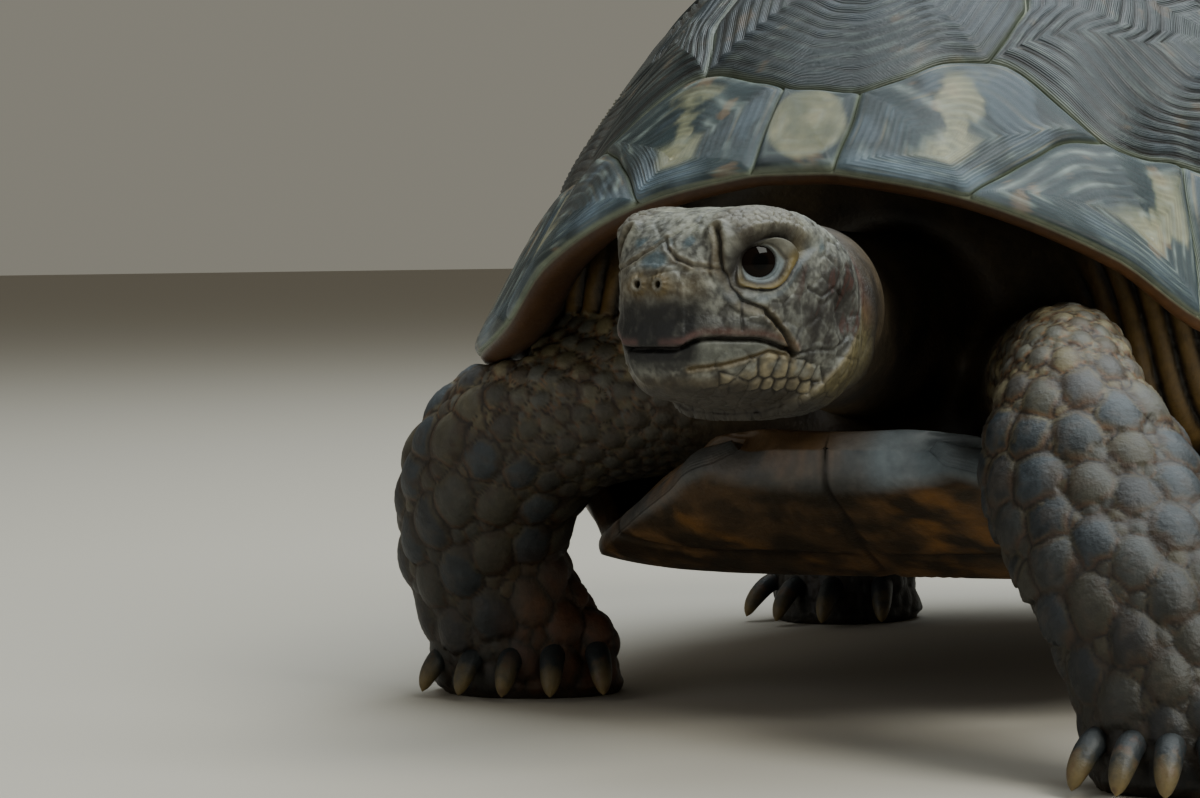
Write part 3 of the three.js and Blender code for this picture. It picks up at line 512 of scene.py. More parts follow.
def plate_paint(kind, shares, rings, wedge, cloud, fine, near_edge, oval):
    """Colours over one plate: dark horn with pale growth lines and small pale fields."""
    ink = inks(SHELL_INK, "shell", "teal", "line", "olive")
    colour = stain(ink["teal"], ink["deep"], np.clip(0.4 + 1.1 * cloud, 0, 1))
    colour = stain(colour, ink["blue"], 0.2 * smoothstep(cloud - 0.5 * fine, 0.15, 0.55))
    lines = bell(rings * 3 - np.round(rings * 3), 0.17) * np.clip(0.4 + 1.3 * fine, 0, 1)
    bright = bell(rings - 1 - np.round((rings - 1) / 4) * 4, 0.12) * np.clip(0.2 + 1.6 * cloud, 0, 1)
    if kind == "nuchal":
        pale = (1 - smoothstep(oval + 0.15 * cloud, 0.8, 0.92)) * (0.75 + 0.25 * np.clip(fine, -1, 1))
    elif kind == "marginal":
        pale = 0.9 * smoothstep(0.36 - shares + 0.3 * cloud, 0, 0.25)
        band = smoothstep(wedge + 0.08 * fine, 0.93, 0.97) * (1 - smoothstep(shares, 0.7, 0.9))
        pale = np.maximum(pale, 0.8 * band) * (0.6 + 0.4 * bell(rings * 2 - np.round(rings * 2), 0.3))
    else:
        pale = 0.7 * smoothstep(wedge + 0.4 * cloud, 0.75, 1.05) * (1 - smoothstep(shares, 0.45, 0.75))
    colour = stain(colour, ink["olive"], 0.9 * pale)
    colour = stain(colour, ink["cream"], 0.6 * pale * np.clip(0.4 + fine, 0, 1))
    colour = stain(colour, ink["line"], 0.62 * lines * (1 - 0.6 * pale))
    colour = stain(colour, ink["cream"], 0.55 * bright * (kind == "marginal") * (1 - pale))
    colour = stain(colour, ink["tan"], 0.35 * smoothstep(fine, 0.56, 0.68) * (1 - pale))
    # painted shade: the growth-ring grooves darkened in step with their depth
    groove = bell(rings - np.round(rings), 0.14) * RING_DEPTH[kind] / 0.5
    colour = stain(colour, ink["brown"], 0.75 * groove * smoothstep(shares, 0.2, 0.35))
    rim = 0.5 * near_edge * np.clip(0.5 + 1.5 * cloud, 0, 1) * (kind == "marginal")
    colour = stain(colour, ink["blue"], rim)
    colour = stain(colour, ink["seam"], 0.7 * smoothstep(shares, 0.965, 0.992))
    return colour * HORN_SHADE.get(kind, 1)


def plate_body(kind, border, spot, seed):
    """One raised plate: its points, faces, ring count and colours."""
    chosen = settings("shell")
    crown, skirt = chosen.crown / MM, chosen.skirt / MM
    border = resampled(border, PLATES["border_step"])
    spot = np.asarray(spot, float)
    middle = dome(*spot)
    reach = np.linalg.norm(dome(border[:, 0], border[:, 1]) - middle, axis=1)
    outmost = 1 - chosen.gap / MM / reach
    levels = int(reach.max() / PLATES["level_step"]) + 2
    shares = np.linspace(0, 1, levels)[1:, None] * outmost
    around = len(border)

    def place(share, lift):
        a = mix(spot[0], border[:, 0], share)
        b = mix(spot[1], border[:, 1], share)
        sway_a, sway_b = seam_sway(a, b)
        a, b = a + sway_a, b + sway_b
        return dome(a, b) + dome_normals(a, b) * np.broadcast_to(lift, a.shape)[..., None]

    plan_a, plan_b = mix(spot[0], border[:, 0], shares), mix(spot[1], border[:, 1], shares)
    flat = np.stack([plan_a * SHELL_WIDTH / 2, plan_b * SHELL_LENGTH / 2, shares * 0 + seed * 40.0], axis=-1)
    stray = fractal(flat, 22, 2, seed)
    rings = shares * chosen.rings + 0.55 * stray
    cloud = fractal(flat, 12, 3, seed + 90)
    fine = fractal(flat, 4, 3, seed + 70)
    clear_heart = smoothstep(shares, PLATES["heart"], PLATES["heart"] + 0.12)
    strength = np.clip(0.6 + 1.1 * cloud, 0.15, 1) * clear_heart
    off = rings - np.round(rings)
    groove = bell(off, 0.15) * strength
    lift = crown * (1 - shares ** 9) ** 0.6 - RING_DEPTH[kind] * groove
    lift += 0.25 * RING_DEPTH[kind] * np.sin(rings * 6 * math.pi) * strength
    top = place(shares, lift)
    back_shares = np.array([1, 0.75, 0.5, 0.25])[:, None] * outmost
    back = place(back_shares, -skirt)
    heart = dome_normals(*spot[:, None])[0]
    points = np.vstack([
        top[::-1].reshape(-1, 3), middle + heart * crown, back.reshape(-1, 3), middle - heart * skirt,
    ])
    rows = levels - 1
    peak, low = rows * around, rows * around + 1
    faces = ring_faces(0, rows, around) + ring_faces(low, 4, around)
    faces += fan(peak, (rows - 1) * around, around)
    faces += fan(low + 4 * around, low + 3 * around, around, turned=True)
    faces += [(low + i, low + (i + 1) % around, (i + 1) % around, i) for i in range(around)]
    from_spot = border - spot
    turn = np.arctan2(from_spot[:, 0] * SHELL_WIDTH / 2, -from_spot[:, 1] * SHELL_LENGTH / 2)
    wedge = np.cos(turn - WEDGE_TURN.get(kind, 0.0))[None] * np.ones_like(shares)
    near_edge = smoothstep(np.hypot(plan_a, plan_b), 0.965, 0.99)
    half = np.abs(from_spot).max(axis=0)
    oval = np.hypot(from_spot[:, 0] * shares / half[0] - 0.2 * shares * np.cos(turn),
                    from_spot[:, 1] * shares / half[1])
    paint = plate_paint(kind, shares, rings, wedge, cloud, fine, near_edge, oval)
    ends = np.array(srgb(SHELL_INK["seam"]))
    phase = np.concatenate([rings[::-1].ravel(), np.zeros(4 * around + 2)])
    paint = np.vstack([paint[::-1].reshape(-1, 3), paint[0, :1], np.tile(ends, (4 * around + 1, 1))])
    return points, faces, {"rings": phase, "paint": paint}


WEDGE_TURN = {"costal_left": 1.2, "costal_right": -1.2, "vertebral": 3.1, "marginal": 3.1}


def carapace_base():
    """The shell's own wall under the plates: outer dome, rounded rim and inner dome, closed."""
    around = 240
    turn = np.linspace(0, 360, around, endpoint=False)
    radii = np.concatenate([[0.02], np.linspace(0.06, 1, 40)])
    outer = []
    for radius in radii:
        spots = on_edge(turn, radius)
        outer.append(dome(*spots.T) - dome_normals(*spots.T) * 0.12)
    edge = dome(*on_edge(turn).T)
    plan = np.hypot(edge[:, 0], edge[:, 1])
    rim = []
    for inwards, down in ((0.3, 0.5), (0.8, 1.1), (2, 1.5), (4, 1.3), (6, 0.6)):
        share = (plan - inwards) / plan
        rim.append(np.c_[edge[:, 0] * share, edge[:, 1] * share, edge[:, 2] - down])
    inner = [dome(*on_edge(turn, radius).T, 6, 7, SHELL_WALL) for radius in np.linspace(1, 0.02, 16)]
    rings = [*outer, *rim, *inner]
    points = np.vstack([*rings, [[0, 0, SHELL_TOP - 0.35]], [[0, 0, SHELL_TOP - SHELL_WALL]]])
    faces = ring_faces(0, len(rings), around)
    top, low, last = len(points) - 2, len(points) - 1, (len(rings) - 1) * around
    faces += fan(top, 0, around, turned=True) + fan(low, last, around)
    tone = inks({"seam": 0x757b68, "in": 0x2a1d15}, "shell", "rim")
    depth = np.concatenate([np.zeros(len(outer)), [0.6, 1, 1, 0.9, 0.55], np.zeros(len(inner))])
    paint = np.empty((len(rings), around, 3))
    paint[:] = tone["in"]
    paint[:len(outer)] = tone["seam"]
    # Painted light and shade on the rim's rounded underside: the lit orange colour on the tortoise's left
    # round to its rear, where the key light reaches, and dark brown elsewhere.
    sunny = mix(0.25, 1, smoothstep(turn, 22, 50) * (1 - smoothstep(turn, 200, 240)))
    paint = stain(paint, tone["in"], depth[:, None] * (1 - 0.5 * sunny))
    paint = stain(paint, tone["rim"], depth[:, None] * sunny)
    return points, faces, np.vstack([paint.reshape(-1, 3), tone["seam"], tone["in"]])


# ---------------------------------------------------------------- the plastron
PLASTRON_SEAMS = [-67, -41, -31, 22, 48]
FLAT_SHARE = 0.7  # share of the way from the middle to the upper edge that lies flat


def plastron_point(u, y):
    """Outer face of the plastron: u from -1 to 1 between its upper edges."""
    side, u = np.sign(u), np.abs(u)
    half = read(PLASTRON_EDGE, y)[..., 0]
    wing = smoothstep(y, BRIDGE[0], BRIDGE[1]) * (1 - smoothstep(y, BRIDGE[2], BRIDGE[3]))
    flat = np.minimum(u / FLAT_SHARE, 1)
    climb = np.maximum((u - FLAT_SHARE) / (1 - FLAT_SHARE), 0)
    edge = (1 - np.abs(y / (SHELL_LENGTH / 2)) ** OUTLINE_POWER) ** (1 / OUTLINE_POWER)
    nose = np.clip((-58 - y) / (-58 - GULAR_TIP), 0, 1)
    rear = np.clip((y - 50) / 30, 0, 1)
    floor_line = PLASTRON_HEIGHT + 14.5 * nose ** 1.25 + 3 * rear ** 2
    x = half * flat + mix(1.2, SHELL_WIDTH / 2 * edge - 3 - half, wing) * climb ** mix(1, 0.8, wing)
    z = floor_line + 2.2 * flat ** 5 + mix(1.5, 46 - floor_line, wing) * climb ** mix(1, 1.4, wing)
    notch = 9 * np.clip(1 - x / 13, 0, 1) * np.clip((y - 62) / 19, 0, 1)
    return np.stack([x * side, y - notch, z], axis=-1)


def chain_distance(points, line):
    """Distance from points to a chain of points, all with as many coordinates."""
    least = np.full(points.shape[:-1], 1e3)
    for start, end in zip(np.array(line[:-1], float), np.array(line[1:], float)):
        span = end - start
        share = np.clip((points - start) @ span / (span @ span), 0, 1)
        least = np.minimum(least, np.linalg.norm(points - start - share[..., None] * span, axis=-1))
    return least


OCHRE_BANDS = [  # across and lengthways on the plastron's front
    [(-26, -79), (-24.5, -76), (-21, -73), (-17, -69.5), (-13, -66), (-9, -64)],
    [(13, -82), (17, -77.5), (17, -72), (14, -67.5), (10, -65)],
    [(8, -80), (11, -75.5), (10, -70)],
    [(26, -75), (27, -69), (24, -63)],
]


def plastron_body():
    """The plastron's points, faces and values: seams and growth rings outside, a plain face inside."""
    us = np.linspace(-1, 1, 151)
    ys = np.linspace(GULAR_TIP, 81, 231)
    y, u = np.meshgrid(ys, us, indexing="ij")
    here = plastron_point(u, y)
    along_u = np.gradient(here, axis=1)
    along_y = np.gradient(here, axis=0)
    outward = unit(np.cross(along_y, along_u))
    to_seam = np.abs(y[..., None] - PLASTRON_SEAMS).min(axis=-1)
    sway = fractal(here, 14, 2, 5)
    midline = np.abs(here[..., 0] + 0.9 * sway)
    inset = np.abs(np.minimum(np.minimum(to_seam + 0.8 * sway, midline), (1 - np.abs(u)) * 30 + 3))
    rings = np.minimum(inset, 14) / 1.5 + 0.4 * fractal(here, 18, 2, 6)
    groove = bell(rings - np.round(rings), 0.2) * (1 - smoothstep(inset, 9, 14))
    groove *= 0.5 + 0.5 * sway
    seam = bell(inset, 0.55)
    chosen = settings("plastron")
    thick = mix(chosen.middle / MM, chosen.front / MM, smoothstep(-y, 60, 80))
    across = np.linalg.norm(np.diff(here, axis=1, prepend=here[:, :1]), axis=2).cumsum(axis=1)
    endways = np.linalg.norm(np.diff(here, axis=0, prepend=here[:1]), axis=2).cumsum(axis=0)
    to_rim = np.minimum.reduce([across, across[:, -1:] - across, endways, endways[-1:] - endways])
    half = thick * 0.48
    rounding = half - np.sqrt(np.maximum(half ** 2 - np.maximum(half - to_rim, 0) ** 2, 0))
    outer = here - outward * (rounding + 0.6 * seam + 0.16 * groove)[..., None]
    inner = here - outward * (thick - rounding)[..., None]
    points = np.vstack([outer.reshape(-1, 3), inner.reshape(-1, 3)])
    rows, columns = y.shape
    index = np.arange(rows * columns).reshape(rows, columns)
    sheet = np.stack([index[:-1, :-1], index[:-1, 1:], index[1:, 1:], index[1:, :-1]], axis=-1).reshape(-1, 4)
    faces = sheet.tolist() + (sheet[:, ::-1] + rows * columns).tolist()
    loop = np.concatenate([index[0, :-1], index[:-1, -1], index[-1, :0:-1], index[:0:-1, 0]])
    after = np.roll(loop, -1)
    faces += np.stack([after, loop, loop + rows * columns, after + rows * columns], axis=-1).tolist()
    cloud = fractal(here, 16, 3, 21)
    fine = fractal(here, 5, 3, 22)
    ink = inks(PLASTRON_INK, "plastron", "dark", "amber", "lip")
    paint = stain(ink["dark"], ink["brown"], np.clip(0.4 + 1.2 * fine, 0, 1))
    paint = stain(paint, ink["ochre"], 0.75 * smoothstep(cloud + 0.5 * fine, -0.05, 0.5))
    for line in OCHRE_BANDS:
        away = chain_distance(here[..., :2], line)
        band = bell(away, 1.8) * np.clip(0.55 + 1.2 * fine + cloud, 0, 1)
        paint = stain(paint, ink["amber"], 0.75 * band)
    # painted shade in the growth-ring grooves
    paint = stain(paint, ink["dark"], 0.35 * groove)
    # painted sheen: the bluish lip colour on the rounded front lip, strongest on the tortoise's left where
    # the key light stands
    lip = smoothstep(half - to_rim, 0.0, 2.2) * smoothstep(-y, 55, 66)
    lip *= mix(0.25, 1, smoothstep(here[..., 0] + 5 * cloud, 0, 7))
    paint = stain(paint, ink["lip"], 0.85 * lip)
    paint = stain(paint, ink["seam"], 0.8 * seam)
    sheen = 0.8 * smoothstep(-y, 55, 66) * smoothstep(here[..., 0] + 5 * cloud, -2, 7)
    under = stain(ink["brown"], ink["lip"], sheen)
    paint = np.vstack([paint.reshape(-1, 3), under.reshape(-1, 3)])
    phase = np.concatenate([rings.ravel(), np.zeros(rows * columns)])
    return points, faces, {"rings": phase, "paint": paint}


PLASTRON_INK = {"brown": 0x54402a, "ochre": 0x7a5a38, "seam": 0x17120e}


# ---------------------------------------------------------------- the flesh as a field
def smooth_min(a, b, width):
    """The lesser of two fields, blended where they are near each other."""
    share = np.clip(0.5 + 0.5 * (b - a) / width, 0, 1)
    return mix(b, a, share) - width * share * (1 - share)


def head_frame(points):
    """Points as left, forwards and up in the head's own frame."""
    turn = HEAD_TURN * DEG
    x, y = points[..., 0] - HEAD_PLACE[0], points[..., 1] - HEAD_PLACE[1]
    left = x * math.cos(turn) - y * math.sin(turn)
    back = x * math.sin(turn) + y * math.cos(turn)
    return np.stack([left, -back, points[..., 2]], axis=-1)


def from_head(points):
    """Left, forwards and up in the head's frame to own-frame points."""
    turn = HEAD_TURN * DEG
    left, back = points[..., 0], -points[..., 1]
    x = left * math.cos(turn) + back * math.sin(turn) + HEAD_PLACE[0]
    y = -left * math.sin(turn) + back * math.cos(turn) + HEAD_PLACE[1]
    return np.stack([x, y, points[..., 2]], axis=-1)


def on_side(place, side):
    """A place given as outwards, forwards and up, on one side of the head: side is 1 or -1."""
    out, forwards, up = place
    return side * out, forwards, up


def by_head(local):
    """Whether head-frame points lie close to the head."""
    return np.all(np.abs(local - (0, 3, 55)) < (18, 22, 20), axis=1)


def fold_front(forwards, up):
    """How far a place lies in front of the slanting edge of the skin fold behind the jaw."""
    return (forwards - 1) * 0.67 + (up - 45.2) * 0.74


def eye_axes(side):
    """Directions out of the eye, to its rear corner and up its lids, in the head's frame."""
    turn, tilt = EYE_FORWARDS * DEG, EYE_TILT * DEG
    ct, st, cl, sl = math.cos(turn), math.sin(turn), math.cos(tilt), math.sin(tilt)
    axes = np.array([[ct, st, 0], [st * cl, -ct * cl, sl], [-st * sl, ct * sl, cl]])
    return axes * (side, 1, 1)


def in_eye(points, side):
    """Head-frame points as out, rear and up from the middle of one eye."""
    return (points - on_side(EYE_PLACE, side)) @ eye_axes(side).T


class Limb:
    """A tube through stations, measured along its own middle line."""

    def __init__(self, spec, count=100):
        stations = np.array(spec["stations"], float)
        rows = np.c_[np.arange(len(stations)), stations]
        samples = read(rows, np.linspace(0, len(stations) - 1, count))
        self.middle = samples[:, :3]
        self.wide, self.deep = samples[:, 3] / 2, samples[:, 4] / 2
        steps = np.linalg.norm(np.diff(self.middle, axis=0), axis=1)
        self.reach = np.concatenate([[0], np.cumsum(steps)])
        self.along = unit(np.gradient(self.middle, axis=0))
        across = np.array(spec["across"], float)
        self.out = unit(across - self.along * (self.along @ across)[:, None])
        self.ahead = np.cross(self.along, self.out)
        self.low = (self.middle - 24).min(axis=0)
        self.high = (self.middle + 24).max(axis=0)

    def near(self, points):
        """Whether the points lie in the limb's surroundings."""
        return np.all((points > self.low) & (points < self.high), axis=1)

    def locate(self, points):
        """For each point: rough distance to the surface, mm along the limb, angle round from its out side."""
        nearest = np.empty(len(points), int)
        squares = (self.middle ** 2).sum(axis=1)
        for start in range(0, len(points), 40000):
            part = points[start:start + 40000]
            nearest[start:start + 40000] = np.argmin(squares - 2 * part @ self.middle.T, axis=1)
        away = points - self.middle[nearest]
        wide, deep = self.wide[nearest], self.deep[nearest]
        u = (away * self.out[nearest]).sum(axis=1) / wide
        v = (away * self.ahead[nearest]).sum(axis=1) / deep
        w = (away * self.along[nearest]).sum(axis=1)
        ends = (nearest == 0) | (nearest == len(self.middle) - 1)
        size = np.minimum(wide, deep)
        over = np.where(ends, w / size, 0)
        value = (np.sqrt(u ** 2 + v ** 2 + over ** 2) - 1) * size
        return value, self.reach[nearest] + w, np.arctan2(v, u)


LIMBS = {name: Limb(spec) for name, spec in {"neck": NECK, "tail": TAIL, **LEGS}.items()}


def head_field(points):
    """Rough distance to the head's surface, in the head's frame."""
    left, forwards, up = points[:, 0], points[:, 1], points[:, 2]
    first, last = HEAD_FORM[0][0], HEAD_FORM[-1][0]
    within = np.clip(forwards, first, last)
    top, bottom, half, middle = read(HEAD_FORM, within).T
    height = np.where(up > middle, top - middle, middle - bottom)
    power = np.where(up > middle, 3.0, 2.67)
    ring = (np.abs(left / half) ** power + np.abs((up - middle) / height) ** power) ** (1 / power)
    over = np.where(forwards > last, (forwards - last) / 0.9, (forwards - first) / 2.6)
    over = np.where(forwards == within, 0, over)
    return (np.sqrt(ring ** 2 + over ** 2) - 1) * np.minimum(half, height)


def sleeve_field(points):
    """Rough distance to the fold of neck skin behind the jaw, cut off slanting forwards and down."""
    left, forwards, up = points.T
    slim = 1 - 0.25 * smoothstep(-forwards, 3, 13)
    across, tall = np.abs(left) / (12.1 * slim), np.abs(up - 51.3) / (9 * slim)
    tube = ((across ** 2.7 + tall ** 2.7) ** (1 / 2.7) - 1) * 9
    return np.maximum(tube, np.maximum(fold_front(forwards, up), -14 - forwards))


def egg_field(points, centre, radii):
    """Rough distance to an egg's surface."""
    rho = np.linalg.norm((points - centre) / radii, axis=1)
    return (rho - 1) * min(radii)


def torso_field(points):
    """Rough distance to the body under the shell, with the hollow that the neck comes out of."""
    x, y, z = points.T
    up = (z - 62) / np.where(z > 62, 60, 39)
    belly = 1 - 0.4 * smoothstep(-up, 0.1, 0.9)
    rho = ((x / (68 * belly)) ** 4 + ((y - 8) / 72) ** 4 + up ** 4) ** 0.25
    body = (rho - 1) * 40
    hollow = egg_field(points, (2, -68, 54), (30, 15, 19))
    return -smooth_min(-body, hollow, 3)


def shell_room(points, clear):
    """Below zero inside the shell's room and under its edge, above zero in its wall."""
    x, y, z = points.T
    plan_x, plan_y = x / (64 - clear), y / (88 - clear)
    s = (np.abs(plan_x) ** OUTLINE_POWER + np.abs(plan_y) ** OUTLINE_POWER) ** (1 / OUTLINE_POWER)
    rows = read(EDGE, np.abs(np.arctan2(plan_x, -plan_y)) / DEG)
    roof = mix(SHELL_TOP - SHELL_WALL - clear, rows[:, 0], np.minimum(s, 1) ** rows[:, 1])
    inside = np.maximum(z - roof, (s - 1) * 60)
    under = z - rows[:, 0] + 1.8 + clear
    return np.minimum(inside, under)


def toe_fields(points, leg):
    """Rough distance to the toes of one foot."""
    value = np.full(len(points), 1e3)
    for claw in claw_stations(leg):
        root, along = claw[0], unit(claw[1] - claw[0])
        value = np.minimum(value, egg_field(points, root - along * 2.2 + (0, 0, 0.4), (3.1, 3.1, 3.6)))
    return value


def spur_field(points, limb, share, degrees):
    """Rough distance to the horn spur on the rear of one thigh."""
    row = round(share * (len(limb.middle) - 1))
    out, ahead, along = limb.out[row], limb.ahead[row], limb.along[row]
    wide, deep = limb.wide[row], limb.deep[row]
    c, s = math.cos(degrees * DEG), math.sin(degrees * DEG)
    place = limb.middle[row] + out * c * (wide - SPUR_SUNK) + ahead * s * (deep - SPUR_SUNK)
    up = unit(out * c / wide + ahead * s / deep)
    lengthways = unit(along + up * (SPUR_LIFT - along @ up))
    across = unit(np.cross(lengthways, up))
    turned = (points - place) @ np.array([across, lengthways, np.cross(across, lengthways)]).T
    return egg_field(turned, 0, SPUR_HALF)


def body_field(points):
    """Rough distance to the whole skin, below zero inside it."""
    points = np.asarray(points, float)
    value = np.maximum(torso_field(points), shell_room(points, 0.5))
    for name, limb in LIMBS.items():
        near = limb.near(points)
        part = points[near]
        if not len(part):
            continue
        size = limb.locate(part)[0]
        if name in LEGS:
            size = smooth_min(size, toe_fields(part, LEGS[name]), 1.6)
        if name in THIGH_SPURS:
            size = smooth_min(size, spur_field(part, limb, *THIGH_SPURS[name]), 0.5)
        value[near] = smooth_min(value[near], size, 4)
    local = head_frame(points)
    near = by_head(local)
    part = local[near]
    if len(part):
        size = head_field(part)
        for side in (1, -1):
            ball = np.linalg.norm(in_eye(part, side), axis=1) - EYE_RADIUS - 0.9
            size = smooth_min(size, ball, 1.2)
            size = smooth_min(size, egg_field(part, on_side(BROW, side), (2.9, 6, 2.2)), 3)
            size = smooth_min(size, egg_field(part, on_side(NOSTRIL, side), (1.4, 1.3, 1.4)), 1.0)
        size = smooth_min(size, sleeve_field(part), 1.2)
        for side in (1, -1):
            size = -smooth_min(-size, egg_field(part, on_side(EAR_DRUM, side), EAR_DRUM_HALF), 0.6)
        value[near] = smooth_min(value[near], size, 3)
    value = np.maximum(value, shell_room(points, 0.3))
    return np.maximum(value, -points[:, 2])


def claw_stations(leg):
    """Middle lines of the claws of one foot: arrays of four points, from root to tip."""
    x, y, _, wide, deep = leg["stations"][-1]
    out = unit(np.array(leg["across"][:2]))
    ahead = np.array([out[1], -out[0]])
    claws = []
    line = ((0, 6.4), (CLAW_LENGTH * 0.42, 5.5), (CLAW_LENGTH * 0.78, 3.3), (CLAW_LENGTH, 0.9))
    for k in np.linspace(-1, 1, leg["claws"]):
        root = np.array([x, y]) + out * k * 0.4 * wide
        root += ahead * (deep / 2 * math.sqrt(1 - (0.8 * k) ** 2) - 2)
        spread = k * 26 * DEG
        along = ahead * math.cos(spread) + out * math.sin(spread)
        claws.append(np.array([[*(root + along * reach), z] for reach, z in line]))
    return claws


def surface_net(values, low, step):
    """Points and quads where the values on an even grid pass zero."""
    inside = values < 0
    cells = np.array(values.shape) - 1
    total, count = np.zeros((*cells, 3)), np.zeros(cells)
    crossings = []
    for axis in range(3):
        first, second = [slice(None)] * 3, [slice(None)] * 3
        first[axis], second[axis] = slice(None, -1), slice(1, None)
        v0, v1 = values[tuple(first)], values[tuple(second)]
        spots = np.argwhere(inside[tuple(first)] != inside[tuple(second)])
        a, b = v0[tuple(spots.T)], v1[tuple(spots.T)]
        place = spots.astype(float)
        place[:, axis] += a / (a - b)
        one, two = (axis + 1) % 3, (axis + 2) % 3
        around = []
        for shift_one, shift_two in ((0, 0), (-1, 0), (-1, -1), (0, -1)):
            cell = spots.copy()
            cell[:, one] += shift_one
            cell[:, two] += shift_two
            around.append(cell)
            np.add.at(total, tuple(cell.T), place)
            np.add.at(count, tuple(cell.T), 1)
        crossings.append((np.stack(around, axis=1), a < 0))
    used = count > 0
    number = np.full(cells, -1)
    number[used] = np.arange(used.sum())
    points = total[used] / count[used][:, None] * step + low
    quads = [np.where(out[:, None], number[tuple(np.moveaxis(cell, -1, 0))],
                      number[tuple(np.moveaxis(cell[:, ::-1], -1, 0))]) for cell, out in crossings]
    return points, np.vstack(quads)


# ---------------------------------------------------------------- the skin's mesh
GRID_STEP = 1.6
SKIN_LOW, SKIN_HIGH = (-82.0, -152.0, -4.8), (82.0, 104.0, 120.0)
EYE_SIGHT = (-1.02, 0.6, 1.8, 1.7)  # bare eyeball between the lids: its middle and half, rearwards and up
EYE_CREASE = [  # angle from the rear corner up and round, reach of the crease round the lids
    (-4, 3.4), (14, 3.15), (40, 2.72), (72, 2.5), (100, 2.56), (131, 2.92), (160, 3.26), (186, 3.35),
    (202, 2.88), (225, 2.4), (249, 2.15), (285, 1.95), (320, 2.05), (341, 2.6), (356, 3.4),
]
LIP_LINE = [  # forwards, height of the mouth line
    (3.2, 49.9), (4, 50.1), (5, 50.5), (7, 51.3), (9, 51.9), (12, 52.1), (14.2, 52.2), (15.4, 51.9),
    (16.3, 51.2), (17.5, 51),
]
# lines in the head's frame: forwards, outwards, up
CHEEK_CREASE = [
    (11.9, 6, 64), (12.7, 6.8, 62.6), (12.6, 6.8, 59.6), (12, 7.4, 57.6), (10.9, 8.1, 56.2), (8.7, 9.4, 55.2),
    (7.6, 10.1, 54), (6.5, 10.6, 52.6), (5.2, 10.8, 50.8), (4.6, 10.8, 49.9),
]
PREFRONTAL_CREASE = [(13.7, 0, 63.2), (14.5, 0.9, 62), (15.3, 2.6, 61), (15.1, 4.7, 60.2), (12.9, 6.8, 59.7)]
LOBE_CREASE = [(10.9, 8.2, 56), (11, 8.2, 54.3), (11, 8.2, 53)]
JAW_CREASE = [
    (15, 4, 48.8), (14.5, 4.4, 49), (12, 6.4, 49.3), (9.6, 7.8, 50), (7.6, 8.9, 50.6), (5.4, 9.7, 50.2),
]
CHEEK_SEAMS = [
    [(2.6, 10.9, 57.4), (0.5, 11.4, 56.4), (-1.6, 11.6, 57.4), (-3.8, 11.6, 56.2)],
    [(4, 10.8, 50.1), (1.4, 11, 50.6), (-1.6, 11.5, 50.4), (-4.4, 11.6, 51.6)],
]
CREAM_SCALES = [  # forwards, outwards, up, width
    (10.9, 5.5, 48.2, 2.6), (8.6, 7.1, 48.5, 2.2), (6.8, 8.3, 48.9, 2), (5.1, 8.9, 48.6, 1.8),
    (3.3, 9.8, 48.6, 2), (1.5, 10.2, 48, 1.7), (7.2, 6.9, 47, 1.6), (5.8, 7.5, 46.9, 1.5),
    (4.3, 8.1, 46.8, 1.5), (2.6, 8.9, 46.6, 1.5), (0.9, 9.3, 46.3, 1.4), (-0.4, 10.4, 47.6, 1.4),
]
HEAD_PLATES = [  # forwards, outwards, up, width
    (13.2, 3.3, 62.3, 4.6), (11.5, 0, 65.2, 4), (7.2, 0, 66.6, 5), (2, 0, 66.5, 5),
]
HEAD_SPOTS = [  # forwards, outwards, up, radius
    (13.6, 3.4, 62.6, 1), (14.2, 0.7, 62.8, 0.9), (15.7, 0.6, 60.9, 1.3), (-0.7, 10.2, 61.7, 1.1),
]


def settle(points, times=1):
    """Moves points onto the surface of the flesh."""
    for _ in range(times):
        value = body_field(points)
        slope = np.stack([body_field(points + np.eye(3)[k] * 0.02) - value for k in range(3)], axis=-1) / 0.02
        steepness = np.maximum((slope ** 2).sum(axis=1), 0.3)
        step = slope * (value / steepness)[:, None]
        points = points - step * np.minimum(1, 0.8 / np.maximum(np.linalg.norm(step, axis=1), 1e-9))[:, None]
    return points


def mesh_points(mesh):
    """The mesh's points as an array."""
    flat = np.empty(len(mesh.vertices) * 3)
    mesh.vertices.foreach_get("co", flat)
    return flat.reshape(-1, 3)


def mesh_normals(mesh):
    """Directions out of the mesh at its points."""
    flat = np.empty(len(mesh.vertices) * 3, np.float32)
    mesh.vertex_normals.foreach_get("vector", flat)
    return flat.reshape(-1, 3).astype(float)


def set_points(mesh, points):
    """Puts the mesh's points at the given places."""
    mesh.vertices.foreach_set("co", np.asarray(points, np.float32).ravel())
    mesh.update()


def refine(mesh, wanted):
    """Halves the edges between wanted points."""
    work = bmesh.new()
    work.from_mesh(mesh)
    picked = [e for e in work.edges if wanted[e.verts[0].index] and wanted[e.verts[1].index]]
    bmesh.ops.subdivide_edges(work, edges=picked, cuts=1, use_grid_fill=True)
    work.to_mesh(mesh)
    work.free()
    mesh.update()


def relax(mesh, points, share, times=1):
    """Draws each point towards the mean of its neighbours."""
    ends = np.empty(len(mesh.edges) * 2, int)
    mesh.edges.foreach_get("vertices", ends)
    ends = ends.reshape(-1, 2)
    count = np.bincount(ends.ravel(), minlength=len(points))[:, None]
    for _ in range(times):
        total = np.zeros_like(points)
        for k in range(3):
            total[:, k] = np.bincount(ends[:, 0], points[ends[:, 1], k], len(points))
            total[:, k] += np.bincount(ends[:, 1], points[ends[:, 0], k], len(points))
        points = mix(points, total / count, share)
    return points


